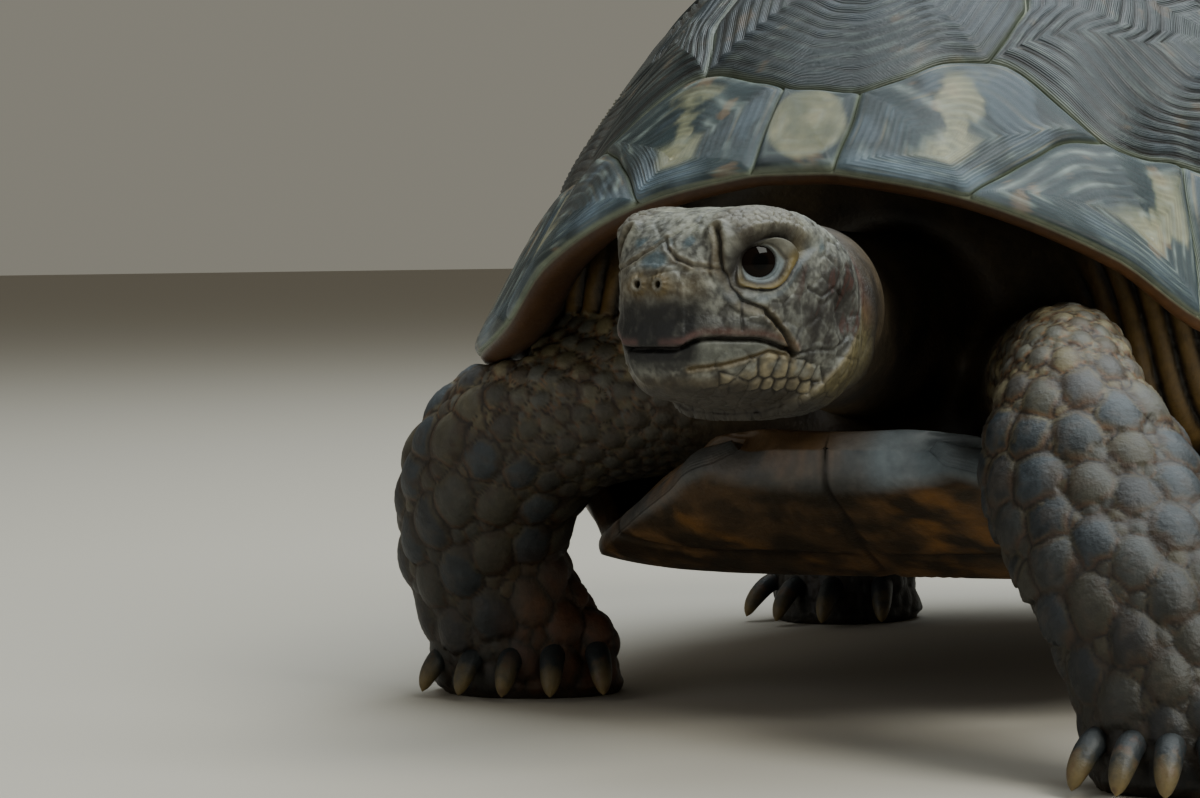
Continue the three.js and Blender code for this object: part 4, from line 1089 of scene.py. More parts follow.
def largest_body(points, quads):
    """Only the faces and points of the largest connected surface."""
    label = np.arange(len(points))
    while True:
        least = label[quads].min(axis=1)
        new = label.copy()
        np.minimum.at(new, quads.ravel(), np.repeat(least, 4))
        new = new[new]
        if np.array_equal(new, label):
            break
        label = new
    main = np.bincount(label).argmax()
    used = label == main
    number = np.cumsum(used) - 1
    return points[used], number[quads[used[quads[:, 0]]]]


FAR_AWAY = 50.0


def regions(points):
    """Where each point of the skin lies: distance, reach and angle by limb, and its place on the head."""
    found = {}
    for name, limb in LIMBS.items():
        value = np.full(len(points), FAR_AWAY)
        reach, angle = np.zeros(len(points)), np.zeros(len(points))
        near = limb.near(points)
        if near.any():
            value[near], reach[near], angle[near] = limb.locate(points[near])
        found[name] = (value, reach, angle)
    local = head_frame(points)
    found["head_place"] = local
    near = by_head(local)
    value = np.full(len(points), FAR_AWAY)
    value[near] = head_field(local[near])
    found["head"] = value
    return found


def near_eye(local):
    """Whether head-frame points lie about an eye or a nostril."""
    found = np.zeros(len(local), bool)
    for side in (1, -1):
        place = in_eye(local, side)
        found |= (np.hypot(place[:, 1], place[:, 2]) < 4.6) & (place[:, 0] > 1)
        found |= np.linalg.norm(local - on_side(NOSE_HOLE, side), axis=1) < 1.8
    return found


def armpit_folds(points):
    """How far the skin beside each foreleg's root is folded, and the folds' height there."""
    x, y, z = np.abs(points[:, 0]), points[:, 1], points[:, 2]
    share = bell(np.maximum(np.abs(x - 45) - 15, 0), 4) * bell(np.maximum(np.abs(y + 60) - 10, 0), 4)
    share *= bell(np.maximum(np.abs(z - 42) - 14, 0), 4)
    across = np.hypot(x - 16, 0.55 * (z - 38))
    return share, np.abs(np.sin(math.pi * across / 2.9))


def rough_skin():
    """The flesh's surface as a mesh of quads, finer where it shows and finest on the head."""
    low = np.array(SKIN_LOW)
    axes = [np.arange(start, end + GRID_STEP, GRID_STEP) for start, end in zip(SKIN_LOW, SKIN_HIGH)]
    grid = np.stack(np.meshgrid(*axes, indexing="ij"), axis=-1)
    values = body_field(grid.reshape(-1, 3)).reshape(grid.shape[:3])
    points, quads = largest_body(*surface_net(values, low, GRID_STEP))
    mesh = bpy.data.meshes.new("skin")
    mesh.from_pydata(points.tolist(), [], quads.tolist())
    points = settle(relax(mesh, points, 0.5, 2), 2)
    set_points(mesh, points)
    for level in range(4):
        points = mesh_points(mesh)
        place = regions(points)
        on_head = (place["head"] < 3) & (place["head_place"][:, 1] > -11)
        on_leg = np.zeros(len(points), bool)
        for name in LEGS:
            value, reach, _ = place[name]
            on_leg |= (value < 2.5) & (reach > 14)
        on_neck = (place["neck"][0] < 2.5) & (points[:, 1] < -70)
        shows = (points[:, 1] < -40) | (points[:, 1] > 55)
        eyes = on_head & near_eye(place["head_place"])
        fine = on_leg | on_head | on_neck | (armpit_folds(points)[0] > 0.2)
        wanted = [fine | shows, fine, on_head, eyes][level]
        refine(mesh, wanted)
        points = mesh_points(mesh)
        set_points(mesh, settle(relax(mesh, points, 0.5, 1), 1))
    return mesh


# ---------------------------------------------------------------- scales
# Painted light and shade on the legs by height: darker towards the feet, lighter at the top, as light falls
# from above.
LEG_PAINTED_LIGHT = [  # height, share of the colour
    (0, 0.26), (12, 0.28), (24, 0.38), (36, 0.54), (46, 1.15), (58, 1.8),
]
# degrees round each leg at which its largest scales lie
SCALE_SIDE = {"foreleg_left": 80, "foreleg_right": 105, "hindleg_left": -80, "hindleg_right": -100}


def leg_scale_size(name, reach, angle, spots):
    """Width of a scale in mm at a place on a leg."""
    limb = LIMBS[name]
    share = reach / limb.reach[-1]
    facing = np.cos(angle - SCALE_SIDE[name] * DEG)
    if name.startswith("fore"):
        big = smoothstep(share, 0.4, 0.52) * (1 - 0.5 * smoothstep(share, 0.84, 0.95))
        size = mix(1.7, mix(2.7, 6.0, big), smoothstep(facing, -0.6, 0.1))
    else:
        big = smoothstep(share, 0.55, 0.85)
        size = mix(2.0, mix(2.4, 4.8, big), smoothstep(facing, -0.6, 0.3))
    return size * (1 + 0.2 * fractal(spots, 9, 1, 8))


def scatter(points, sizes, seed):
    """Picks points so that each is about its own size away from the others."""
    order = np.random.default_rng(seed).permutation(len(points))
    cells, chosen = {}, []
    widest = float(sizes.max())
    where = np.floor(points / widest).astype(int).tolist()
    places = points.tolist()
    for i in order.tolist():
        x, y, z = where[i]
        px, py, pz = places[i]
        limit = (0.86 * sizes[i]) ** 2
        clear = True
        for key in product((x - 1, x, x + 1), (y - 1, y, y + 1), (z - 1, z, z + 1)):
            for qx, qy, qz in cells.get(key, ()):
                if (px - qx) ** 2 + (py - qy) ** 2 + (pz - qz) ** 2 < limit:
                    clear = False
                    break
            if not clear:
                break
        if clear:
            cells.setdefault((x, y, z), []).append((px, py, pz))
            chosen.append(i)
    return np.array(chosen)


def nearest(seeds, points, count):
    """Numbers and distances of the seeds nearest to each point, nearest first."""
    tree = KDTree(len(seeds))
    for i, seed in enumerate(seeds.tolist()):
        tree.insert(seed, i)
    tree.balance()
    index = np.empty((len(points), count), int)
    away = np.empty((len(points), count))
    for i, point in enumerate(points.tolist()):
        for k, (_, number, distance) in enumerate(tree.find_n(point, count)):
            index[i, k] = number
            away[i, k] = distance
    return index, away


def evened(seeds, points, times=2):
    """Moves each seed to the middle of the points nearest to it."""
    for _ in range(times):
        owner = nearest(seeds, points, 1)[0][:, 0]
        count = np.maximum(np.bincount(owner, minlength=len(seeds)), 1)
        seeds = np.stack([np.bincount(owner, points[:, k], len(seeds)) / count for k in range(3)], axis=-1)
    return seeds


def grow_scales(spots, size_at, frame_at, shape):
    """Overlapping raised scales: height, number, closeness to the rim, place along it, size at each spot."""
    squeeze = np.array((1, 1, shape["squeeze"]))
    sample = spots[:: max(1, len(spots) // 40000)] * squeeze
    seeds = sample[scatter(sample, size_at(sample / squeeze), shape["seed"])]
    seeds = evened(seeds, sample)
    sizes = size_at(seeds / squeeze)
    owner, away = nearest(seeds, sample, 1)
    loose = away[:, 0] > 0.56 * sizes[owner[:, 0]]
    if loose.any():
        small = sizes[owner[loose, 0]] * 0.42
        added = sample[loose][scatter(sample[loose], small, shape["seed"] + 1)]
        added_sizes = size_at(added / squeeze) * 0.5
        seeds, sizes = np.vstack([seeds, added]), np.concatenate([sizes, added_sizes])
    seeds = seeds / squeeze
    along, across = frame_at(seeds)
    index, away = nearest(seeds, spots, 6)
    half = sizes[index] * 0.5
    offset = spots[:, None] - seeds[index]
    la = (offset * along[index]).sum(axis=-1) / (half * shape["long"])
    lb = (offset * across[index]).sum(axis=-1) / (half * shape["broad"])
    radius = (np.abs(la) ** 2.4 + np.abs(lb) ** 2.4) ** (1 / 2.4)
    rise = shape["high"] * sizes[index] * (1 - np.minimum(radius, 1.4) ** 2.2)
    rise += shape["lean"] * sizes[index] * la
    best = np.argmax(rise, axis=1)
    row = np.arange(len(spots))
    size = sizes[index[row, best]]
    height = np.maximum(rise[row, best], -shape["gap"] * size)
    second = np.partition(rise, -2, axis=1)[:, -2]
    border = np.minimum((rise[row, best] - second) / (shape["high"] * size), 1)
    return height, index[row, best], 1 - border, la[row, best], size


def tint_of(owner, seed):
    """A random share for each scale."""
    return np.random.default_rng(seed).random(owner.max() + 1)[owner]


def line_distance(points, line):
    """Distance from each point to a chain of (forwards, outwards, up) places, laid on the flesh."""
    line = np.asarray(line, float)[:, [1, 0, 2]]
    steps = np.linspace(0, len(line) - 1, 3 * len(line) - 2)
    line = np.stack([np.interp(steps, np.arange(len(line)), line[:, k]) for k in range(3)], axis=-1)
    return chain_distance(points, head_frame(settle(from_head(line), 4)))


def lip_height(forwards):
    """Height of the mouth line."""
    return read(LIP_LINE, forwards)[..., 0]


def head_relief(local):
    """Rise of the head's skin over the flesh, its plate borders and the size of its plates."""
    folded = np.c_[np.abs(local[:, 0]), local[:, 1:]]
    out, forwards, up = folded.T
    over_lip = up - lip_height(forwards)
    beak = smoothstep(forwards, 12.8, 14.2) * (1 - smoothstep(up, 56.2, 57.4))
    beak = np.maximum(beak, smoothstep(forwards, 4, 6) * bell(np.maximum(np.abs(over_lip) - 0.6, 0), 0.7))
    size = np.full(len(local), 2.8)
    size = mix(size, 4.6, smoothstep(up, 63.6, 64.8) * (1 - smoothstep(out, 5, 6.5)))
    size = mix(size, 5.5, smoothstep(forwards, 9.5, 11) * (1 - beak))
    grains = smoothstep(up, 61.6, 63) * smoothstep(out, 4.6, 5.8) * smoothstep(forwards, 0, 3)
    grains *= 1 - smoothstep(forwards, 11, 12.2)
    size = mix(size, 1.0, grains)
    size = mix(size, 1.5, smoothstep(-up, -49.5, -47.6))
    return folded, over_lip, beak, size


def voronoi(local, size, given, seed):
    """Cells over the points: distance to the cell's border and the number of the cell."""
    sample = local[:: max(1, len(local) // 40000)]
    sample_size = size[:: max(1, len(local) // 40000)]
    seeds = sample[scatter(sample, sample_size, seed)]
    fixed = np.array([(s * out, fwd, up) for fwd, out, up, _ in given for s in ((1, -1) if out else (1,))])
    reach = np.array([width for fwd, out, up, width in given for s in ((1, -1) if out else (1,))])
    gap = np.linalg.norm(seeds[:, None] - fixed, axis=2) / reach
    seeds = np.vstack([fixed, seeds[gap.min(axis=1) > 0.85]])
    index, away = nearest(seeds, local, 3)
    return away[:, 1] - away[:, 0], index[:, 0], len(fixed)


def furrow(distance, deep, wide):
    """A crease with slightly raised banks."""
    return -deep * bell(distance, wide) + 0.3 * deep * bell(distance - 2.1 * wide, wide)


def shape_head(points, normals, place, paint):
    """Raises and creases the head's skin, opens its eyes and nostrils and colours it."""
    left, ahead, high = place["head_place"].T
    sleeve = (np.abs(left) < 13.5) & (np.abs(high - 51) < 10.5)
    chosen = np.flatnonzero(((place["head"] < 3.2) | sleeve) & (np.abs(ahead - 2.5) < 17.5))
    local = place["head_place"][chosen]
    folded, over_lip, beak, size = head_relief(local)
    out, forwards, up = folded.T
    fade = smoothstep(forwards, -10, -6)
    gap, owner, fixed = voronoi(local, size, HEAD_PLATES + CREAM_SCALES, 60)
    first_cream = sum(2 if out else 1 for _, out, _, _ in HEAD_PLATES)
    cream = (owner >= first_cream) & (owner < fixed)
    relief = np.where(cream, 0.34, 0.13) * (1 - beak)
    relief = np.where(size < 1.3, 0.2, relief)
    span = np.where(cream, 0.8, np.minimum(0.28 * size, 0.8))
    calm = eye_calm(folded)
    lift = calm * relief * (smoothstep(gap, 0, span) - 0.6)
    cheek_crease = line_distance(folded, CHEEK_CREASE)
    brow_crease = line_distance(folded, PREFRONTAL_CREASE)
    lobe_crease = line_distance(folded, LOBE_CREASE)
    jaw_crease = line_distance(folded, JAW_CREASE)
    seams = np.minimum.reduce([line_distance(folded, line) for line in CHEEK_SEAMS])
    lift += furrow(cheek_crease, 0.6, 0.26) + furrow(brow_crease, 0.3, 0.2) + furrow(lobe_crease, 0.2, 0.18)
    lift += furrow(jaw_crease, 0.35, 0.2) + furrow(seams, 0.2, 0.2)
    lift += 0.4 * bell(cheek_crease - 0.9, 0.4) * smoothstep(forwards, 7, 9)
    slit = smoothstep(forwards, 3.4, 4.6)
    lift += slit * (0.4 * smoothstep(over_lip, 0.0, 0.25) * (1 - smoothstep(over_lip, 0.9, 3.0))
                    - 1.0 * bell(over_lip + 0.15, 0.24))
    lift += 0.12 * fractal(local, 3.0, 3, 12) * (1 - 0.6 * beak)
    lift *= fade

    ink = inks(HEAD_INK, "skin", "skin", "cream", "beak")
    colour = np.tile(ink["skin"], (len(local), 1))

    def dye(name, weight):
        nonlocal colour
        colour = mix(colour, ink[name], np.clip(weight, 0, 1)[:, None])

    cloud = fractal(local, 5, 3, 14)
    fine = fractal(local, 1.6, 3, 15)
    dust = fractal(local, 0.7, 2, 18)
    # painted highlight: the top of the head paler, as if lit from above
    dye("pale", 0.75 * smoothstep(up, 61.5, 65.5) * (0.6 + 0.9 * cloud))
    dye("dark", 0.6 * smoothstep(fine + 0.3 * cloud, 0.02, 0.4))
    dye("light", 0.4 * smoothstep(-fine, 0.12, 0.45))
    dye("dark", 0.4 * smoothstep(dust, 0.05, 0.35))
    dye("light", 0.35 * smoothstep(-dust, 0.15, 0.4))
    brow = smoothstep(up, 60, 62.5) * smoothstep(forwards, 0, 3) * (1 - smoothstep(forwards, 11, 12.5))
    dye("earth", 0.5 * brow * smoothstep(out, 3.5, 6))
    cheek = smoothstep(-forwards, -6, -1.5) * smoothstep(up, 48.5, 50.5) * (1 - smoothstep(up, 58.5, 61.5))
    streaks = fractal(folded * (1, 1.2, 0.35) + (0, 0.5, 0) * up[:, None], 1.8, 3, 16)
    dye("dark", cheek * (0.74 + 0.8 * streaks + 0.4 * cloud))
    upper_jaw = smoothstep(over_lip, 0.5, 1.5) * (1 - smoothstep(up, 55, 58)) * smoothstep(forwards, 3, 6)
    dye("dark", 0.3 * upper_jaw)
    dye("rust", 0.4 * cheek * smoothstep(streaks, 0.15, 0.45))
    front = smoothstep(forwards, 14.3, 15.6) * smoothstep(up, 47.8, 50)
    front *= 1 - smoothstep(up + cloud, 55.4, 57)
    dye("beak", 0.97 * front * (1 - 0.4 * smoothstep(fine, 0.1, 0.5)))
    nose = smoothstep(forwards, 13.5, 15.5) * bell(up - 58, 1.5)
    dye("ochre", 0.4 * nose)
    lip = slit * bell(over_lip - 0.7, 0.5)
    dye("rust", 0.6 * lip * (1 - front))
    dye("pink", 0.6 * front * bell(over_lip - 0.7, 0.4) * smoothstep(out, 1, 2))
    dye("beak", 0.45 * slit * bell(over_lip - 1.7, 0.7) * (1 - front))
    plate = slit * smoothstep(-over_lip, 0.2, 0.6) * smoothstep(up, 48.9, 49.6) * smoothstep(forwards, 6, 8)
    dye("plate", 0.7 * plate * (1 - front))
    dye("ochre", 0.8 * bell(jaw_crease, 0.45))
    low = smoothstep(-up, -48.4, -46.8)
    dye("ochre", 0.6 * low * smoothstep(forwards, -2, 3))
    # painted shade: the underside of the jaw and throat darkened
    dye("dark", 0.85 * smoothstep(-up + 0.8 * fine, -48.8, -45.8))
    slope = fold_front(forwards, up)
    behind = smoothstep(-slope, -0.4, 0.4) * (1 - smoothstep(up, 54, 58))
    behind *= smoothstep(up + cloud, 43.6, 46.4) * smoothstep(out, 5, 8)
    dye("fold", behind * (0.9 + 0.5 * streaks))
    dye("dark", 0.5 * behind * smoothstep(streaks + 0.6 * cloud, 0.1, 0.5))
    # painted highlight: a pale line along the front edge of the neck fold
    dye("cream", 0.6 * bell(slope, 0.3) * (1 - smoothstep(up, 51, 54)) * smoothstep(up, 44, 46))
    # painted shade: the neck darkened further back behind the head, where the shell's edge shades it
    dye("dark", 0.9 * smoothstep(-forwards - 0.35 * (up - 50), 13, 16))
    dye("rust", 0.5 * smoothstep(-forwards, 8, 11) * smoothstep(up, 51, 55))
    dye("cream", (0.55 + 0.9 * fine) * cream * smoothstep(gap, 0.05, 0.6) * smoothstep(forwards, -1.5, 1))
    # painted shade in the gaps between the cream jaw scales
    dye("crease", 0.6 * cream * (1 - smoothstep(gap, 0, 0.3)))
    for fwd, away, height, radius in HEAD_SPOTS:
        spot = np.linalg.norm(folded - (away, fwd, height), axis=1)
        dye("spot", 0.8 * (1 - smoothstep(spot + 0.5 * fine, radius * 0.5, radius * 1.25)))
    creases = np.minimum(cheek_crease, brow_crease + 0.1)
    dye("ochre", 0.4 * bell(creases - 0.3, 0.5))
    # painted shade in the creases, the cheek seams, the mouth slit and the gaps between the head's plates
    dye("crease", 0.9 * bell(creases, 0.2))
    dye("crease", 0.7 * bell(np.minimum(seams, lobe_crease), 0.16))
    dye("crease", 0.9 * slit * bell(over_lip + 0.15, 0.25))
    dye("crease", calm * (0.4 + 0.4 * fine) * (1 - smoothstep(gap, 0, 0.22)) * (1 - beak))

    shift = normals[chosen] * lift[:, None]
    turn = HEAD_TURN * DEG
    local_shift = np.stack([
        shift[:, 0] * math.cos(turn) - shift[:, 1] * math.sin(turn),
        -(shift[:, 0] * math.sin(turn) + shift[:, 1] * math.cos(turn)), shift[:, 2]], axis=-1)
    moved = local + local_shift
    for side in (1, -1):
        moved = open_eye(moved, local, side, dye)
        offset = moved - on_side(NOSE_HOLE, side)
        away = np.hypot(offset[:, 0], offset[:, 2])
        ahead = moved[:, 1] > 14.5
        about = np.arctan2(offset[:, 2], offset[:, 0])
        rays = 0.06 * np.sin(about * 11) * bell(away - 1.1, 0.4)
        ring = np.where(ahead, 0.28 * bell(away - 0.75, 0.4) + rays, 0)
        deep = np.where(ahead, 1.3 * (1 - smoothstep(away, 0.2, 0.45)), 0)
        moved[:, 1] += ring - deep
        dye("ochre", 0.6 * np.where(ahead, bell(away - 0.9, 0.7), 0))
        dye("light", 0.45 * np.where(ahead, bell(away - 0.6, 0.2), 0))
        # painted shade inside the nostril
        dye("crease", np.where(ahead, 1 - smoothstep(away, 0.22, 0.45), 0))
    points[chosen] = from_head(moved)
    weight = smoothstep(forwards, -14.5, -11)[:, None]
    paint[chosen] = mix(paint[chosen], colour, weight)


def lid_share(rear, high):
    """How far a place lies from the middle of the eye to the crease round its lids, which is at 1."""
    angle = (np.degrees(np.arctan2(high + 0.1, rear)) + 4) % 360 - 4
    return np.hypot(rear, high + 0.1) / read(EYE_CREASE, angle)[..., 0]


def open_eye(local, flat, side, dye):
    """Shapes the lids of one eye round its ball and draws the skin behind it; flat has no relief."""
    place = in_eye(flat, side)
    far = np.linalg.norm(place, axis=1)
    relief = np.linalg.norm(in_eye(local, side), axis=1) - far
    facing = (place[:, 0] > 0.5) & (far < 8.5)
    direction = place / np.maximum(far, 1e-6)[:, None]
    rear, high = direction[:, 1] * EYE_RADIUS, direction[:, 2] * EYE_RADIUS
    lid = lid_share(rear, high)
    sight = np.hypot((rear - EYE_SIGHT[0]) / EYE_SIGHT[2], (high - EYE_SIGHT[1]) / EYE_SIGHT[3])
    band = (sight - 1) / np.maximum(sight - 1 + 1.3 * np.maximum(1 - lid, 0), 0.05)
    low = smoothstep(-high, -0.8, 0.6)
    shelf = np.clip(far, EYE_RADIUS + 0.5, EYE_RADIUS + mix(1.5, 2.9, smoothstep(-rear, 1.8, 3.0)))
    roll = 0.16 * bell(band - 0.14, 0.1) + 0.3 * bell(band - 0.66, 0.2)
    lids = mix(EYE_RADIUS + 0.16, shelf, smoothstep(band, 0.1, 1.0)) + roll
    brow = 0.22 * (1 - low) * bell(lid - 1.17, 0.09)
    socket = mix(shelf, far, smoothstep(lid, 1.0, 1.22)) + relief * smoothstep(lid, 1.02, 1.08)
    outer = mix(lids, socket + brow, smoothstep(lid, 0.96, 1.04))
    outer = outer - (0.45 + 0.5 * (1 - low)) * bell(lid - 1.0, 0.05 + 0.02 * (1 - low))
    radius = mix(EYE_RADIUS - 0.3, outer, smoothstep(sight, 1.0, 1.05))
    radius = mix(EYE_RADIUS - 1.2, radius, smoothstep(sight, 0.8, 1.0))
    weight = np.where(facing, (1 - smoothstep(lid, 1.25, 1.4)) * (1 - smoothstep(far, 7.6, 8.4)), 0)
    target = direction * mix(far + relief, radius, weight)[:, None]
    moved = target @ eye_axes(side) + on_side(EYE_PLACE, side)
    inside = weight * (1 - smoothstep(lid, 0.97, 1.02))
    dye("olive", inside)
    dye("light", inside * (1 - low) * 0.6 * bell(band - 0.55, 0.3))
    dye("gold", inside * low * 0.85 * bell(band - 0.72, 0.2))
    dye("dark", inside * 0.8 * bell(band - 0.4 - 0.1 * low, 0.06))
    dye("lid", inside * (1 - smoothstep(band, 0.24 + 0.14 * low, 0.34 + 0.16 * low)) * (0.55 + 0.45 * low))
    dye("gold", weight * smoothstep(rear, 2.9, 3.3) * bell(lid - 1.0, 0.12) * 0.9)
    dye("blue", weight * low * bell(lid - 1.14, 0.07) * 0.4)
    # painted shade: a dark band above the upper lid's crease, the crease round the lids and the skin's edge
    # against the eyeball
    dye("dark", weight * (1 - low) * 0.3 * bell(lid - 1.1, 0.06))
    dye("crease", weight * (1 - 0.2 * low) * bell(lid - 1.0, 0.09 - 0.045 * low))
    dye("crease", weight * (1 - smoothstep(sight, 1.0, 1.06)))
    return np.where((weight > 0)[:, None], moved, local)


def eye_calm(folded):
    """0 on the lids, 1 away from them: how far the head's relief may show."""
    place = in_eye(folded, 1)
    far = np.linalg.norm(place, axis=1)
    lid = lid_share(*(place[:, 1:] / np.maximum(far, 1e-6)[:, None] * EYE_RADIUS).T)
    return np.where(place[:, 0] > 0, smoothstep(lid, 1.0, 1.25), 1)


# Of these inks, pale serves as a painted highlight on the crown, and crease as near-black painted shade in
# creases, slits, holes and the gaps between scales.
HEAD_INK = {
    "pale": 0x979783, "light": 0x93948c, "dark": 0x262320, "earth": 0x5b5142, "spot": 0x334750,
    "ochre": 0x65532b, "gold": 0x6f6034, "rust": 0x542b20, "pink": 0x70504c, "plate": 0x5f625c,
    "crease": 0x16110d, "lid": 0x6d777c, "blue": 0x5d6a72, "olive": 0x453d28, "fold": 0x60583c,
}


# pit is a near-black used only as painted shade: in the gaps between leg scales, near the floor and on the
# far foreleg.
LEG_INK = {
    "flesh": 0x4a3e2c, "shade": 0x211b14, "steel": 0x56616a, "brown": 0x413426, "rust": 0x6a4020,
    "pit": 0x110c08, "golden": 0x7b6136,
}


def skin_body():
    """The skin with its scales: the mesh and values at its points."""
    mesh = rough_skin()
    points, normals = mesh_points(mesh), mesh_normals(mesh)
    place = regions(points)
    lift = np.zeros(len(points))
    cloud = fractal(points, 12, 3, 9)
    ink = inks(LEG_INK, "skin", "slate", "beige")
    chosen_sizes = settings("skin")
    paint = stain(ink["flesh"], ink["shade"], np.clip(0.5 + cloud, 0, 1))
    share, fold = armpit_folds(points)
    share *= smoothstep(np.minimum(place["foreleg_left"][0], place["foreleg_right"][0]), 0.8, 3)
    lift += share * (1.5 * np.sqrt(fold) - 0.8)
    # painted shade in the troughs between the folds, golden skin on their crests
    golden = stain(ink["shade"], ink["golden"], smoothstep(fold + 0.3 * cloud, 0.2, 0.9))
    paint = mix(paint, golden, share[:, None])
    for number, name in enumerate(LEGS):
        limb = LIMBS[name]
        value, reach, angle = place[name]
        chosen = np.flatnonzero((value < 2.2) & (reach > 10) & (points[:, 2] > 0.3))
        spots = points[chosen]

        def size_at(spots, limb=limb, name=name):
            _, reach, angle = limb.locate(spots)
            return leg_scale_size(name, reach, angle, spots)

        def frame_at(spots, limb=limb):
            squares = (limb.middle ** 2).sum(axis=1)
            index = np.argmin(squares - 2 * spots @ limb.middle.T, axis=1)
            away = spots - limb.middle[index]
            along = limb.along[index]
            outward = unit(away - along * (away * along).sum(axis=1)[:, None])
            return along, np.cross(outward, along)

        shape = {
            "seed": 20 + number * 3, "squeeze": 0.76, "long": 1.55, "broad": 1.12, "gap": 0.05,
            "high": chosen_sizes.scale_height, "lean": chosen_sizes.scale_lean,
        }
        height, owner, rim, far_end, size = grow_scales(spots, size_at, frame_at, shape)
        weight = smoothstep(reach[chosen], 10, 22) * smoothstep(points[chosen, 2], 0.3, 1.5)
        lift[chosen] = height * weight
        tint, warm = tint_of(owner, 40 + number), tint_of(owner, 50 + number)
        big = smoothstep(size, 3.0, 4.6)
        fine = fractal(spots, 2.2, 3, 30 + number)
        glow = np.clip(0.1 + 0.55 * tint + 0.45 * fine, 0, 1)
        centre = stain(ink["slate"], ink["steel"], glow)
        pale = 0.6 * smoothstep(warm, 0.55, 0.9) + 0.4 * (1 - big)
        centre = stain(centre, ink["beige"], pale)
        centre = stain(centre, ink["brown"], 0.5 * smoothstep(-warm, -0.3, -0.05))
        skirt = stain(ink["beige"], ink["brown"], np.clip(0.5 + fine, 0, 1))
        colour = stain(centre, skirt, smoothstep(rim + 0.25 * fine, 0.3, 0.72) * (1 - 0.3 * tint))
        free = smoothstep(far_end, 0.35, 0.7)
        colour = stain(colour, ink["rust"], 0.55 * smoothstep(rim, 0.55, 0.85) * free)
        # painted shadow: brown at the end of each scale that the scale above overlaps
        colour = stain(colour, ink["brown"], 0.6 * smoothstep(-far_end, 0.1, 0.7))
        # painted shade: near-black in the gaps at each scale's border
        colour = stain(colour, ink["pit"], 0.9 * smoothstep(rim + 0.1 * fine, 0.78, 0.96))
        # painted light and shade: the colour darker low on the leg and lighter high up
        colour = colour * read(LEG_PAINTED_LIGHT, spots[:, 2])
        foot = 1 - smoothstep(points[chosen, 2], 4, 13)
        # The far foreleg gets its own painted light and shade: less darkening at its foot, and its colour
        # brightened and then mixed towards near-black.
        far_leg_painted_light = name == "foreleg_right"
        # painted shade: the legs darkened towards near-black close to the floor, less so on the far foreleg
        colour = stain(colour, ink["pit"], (0.15 if far_leg_painted_light else 0.55) * foot)
        if far_leg_painted_light:
            inner = smoothstep(spots[:, 0], -59, -52) * smoothstep(-spots[:, 2], -24, -12)
            # painted light and shade on the far foreleg: colour brightened 2.4 times, then mixed 45% towards
            # near-black
            colour = mix(colour * 2.4, ink["pit"], 0.45)
            colour = stain(colour, ink["rust"], 0.6 * inner * (1 - rim))
        colour = stain(colour, ink["brown"], 0.35 * smoothstep(fine, 0.0, 0.5))
        paint[chosen] = mix(paint[chosen], colour, weight[:, None])
    points = points + normals * lift[:, None]
    shape_head(points, normals, place, paint)
    set_points(mesh, points)
    return mesh, {"paint": paint}


# ---------------------------------------------------------------- eyes and claws
def ball(centre, radius, axes, rows=40, around=64):
    """Points and faces of a ball with its pole along the first axis, and its points' directions."""
    rise, turn = np.meshgrid(
        np.linspace(0, math.pi, rows + 1)[1:-1], np.linspace(0, 2 * math.pi, around, endpoint=False),
        indexing="ij",
    )
    local = np.stack([np.cos(rise), np.sin(rise) * np.cos(turn), np.sin(rise) * np.sin(turn)], axis=-1)
    local = np.vstack([local.reshape(-1, 3), [[1, 0, 0], [-1, 0, 0]]])
    points = local * radius @ axes + centre
    faces = ring_faces(0, rows - 1, around)
    top, low, last = len(points) - 2, len(points) - 1, (rows - 2) * around
    faces += fan(top, 0, around) + fan(low, last, around, turned=True)
    return points, faces, local


def claws_body(leg):
    """All claws of one foot as one set of closed, curved, tapered horns."""
    points, faces, along_share = [], [], []
    rows, around = 22, 20
    start = -0.3  # share of the claw's length that lies inside the toe
    for claw in claw_stations(leg):
        claw = np.vstack([claw[0] - (claw[1] - claw[0]) * 0.6, claw])
        table = np.c_[np.linspace(start, 1, 5), claw]
        shares = np.linspace(start, 1, rows)
        middle = read(table, shares)
        along = unit(np.gradient(middle, axis=0))
        side = unit(np.cross(along, (0, 0, 1)))
        up = np.cross(side, along)
        half = CLAW_HALF * np.clip(1 - np.maximum(shares, 0) ** 3.4, 0.0, 1) ** 0.7 + CLAW_TIP
        turn = np.linspace(0, 2 * math.pi, around, endpoint=False)
        sideways = np.cos(turn) * half[:, None]
        upwards = np.sin(turn) * np.where(np.sin(turn) > 0, 1, 0.7) * half[:, None]
        ring = middle[:, None] + side[:, None] * sideways[..., None] + up[:, None] * upwards[..., None]
        first = sum(len(p) for p in points)
        points += [ring.reshape(-1, 3), middle[:1], middle[-1:] + along[-1:] * 0.1]
        faces += ring_faces(first, rows, around)
        low, tip, last = first + rows * around, first + rows * around + 1, first + (rows - 1) * around
        faces += fan(low, first, around, turned=True) + fan(tip, last, around)
        along_share += [np.repeat(shares, around), shares[:1], shares[-1:]]
    points = np.vstack(points)
    points[:, 2] = np.maximum(points[:, 2], 0.02)
    return points, faces, np.concatenate(along_share)


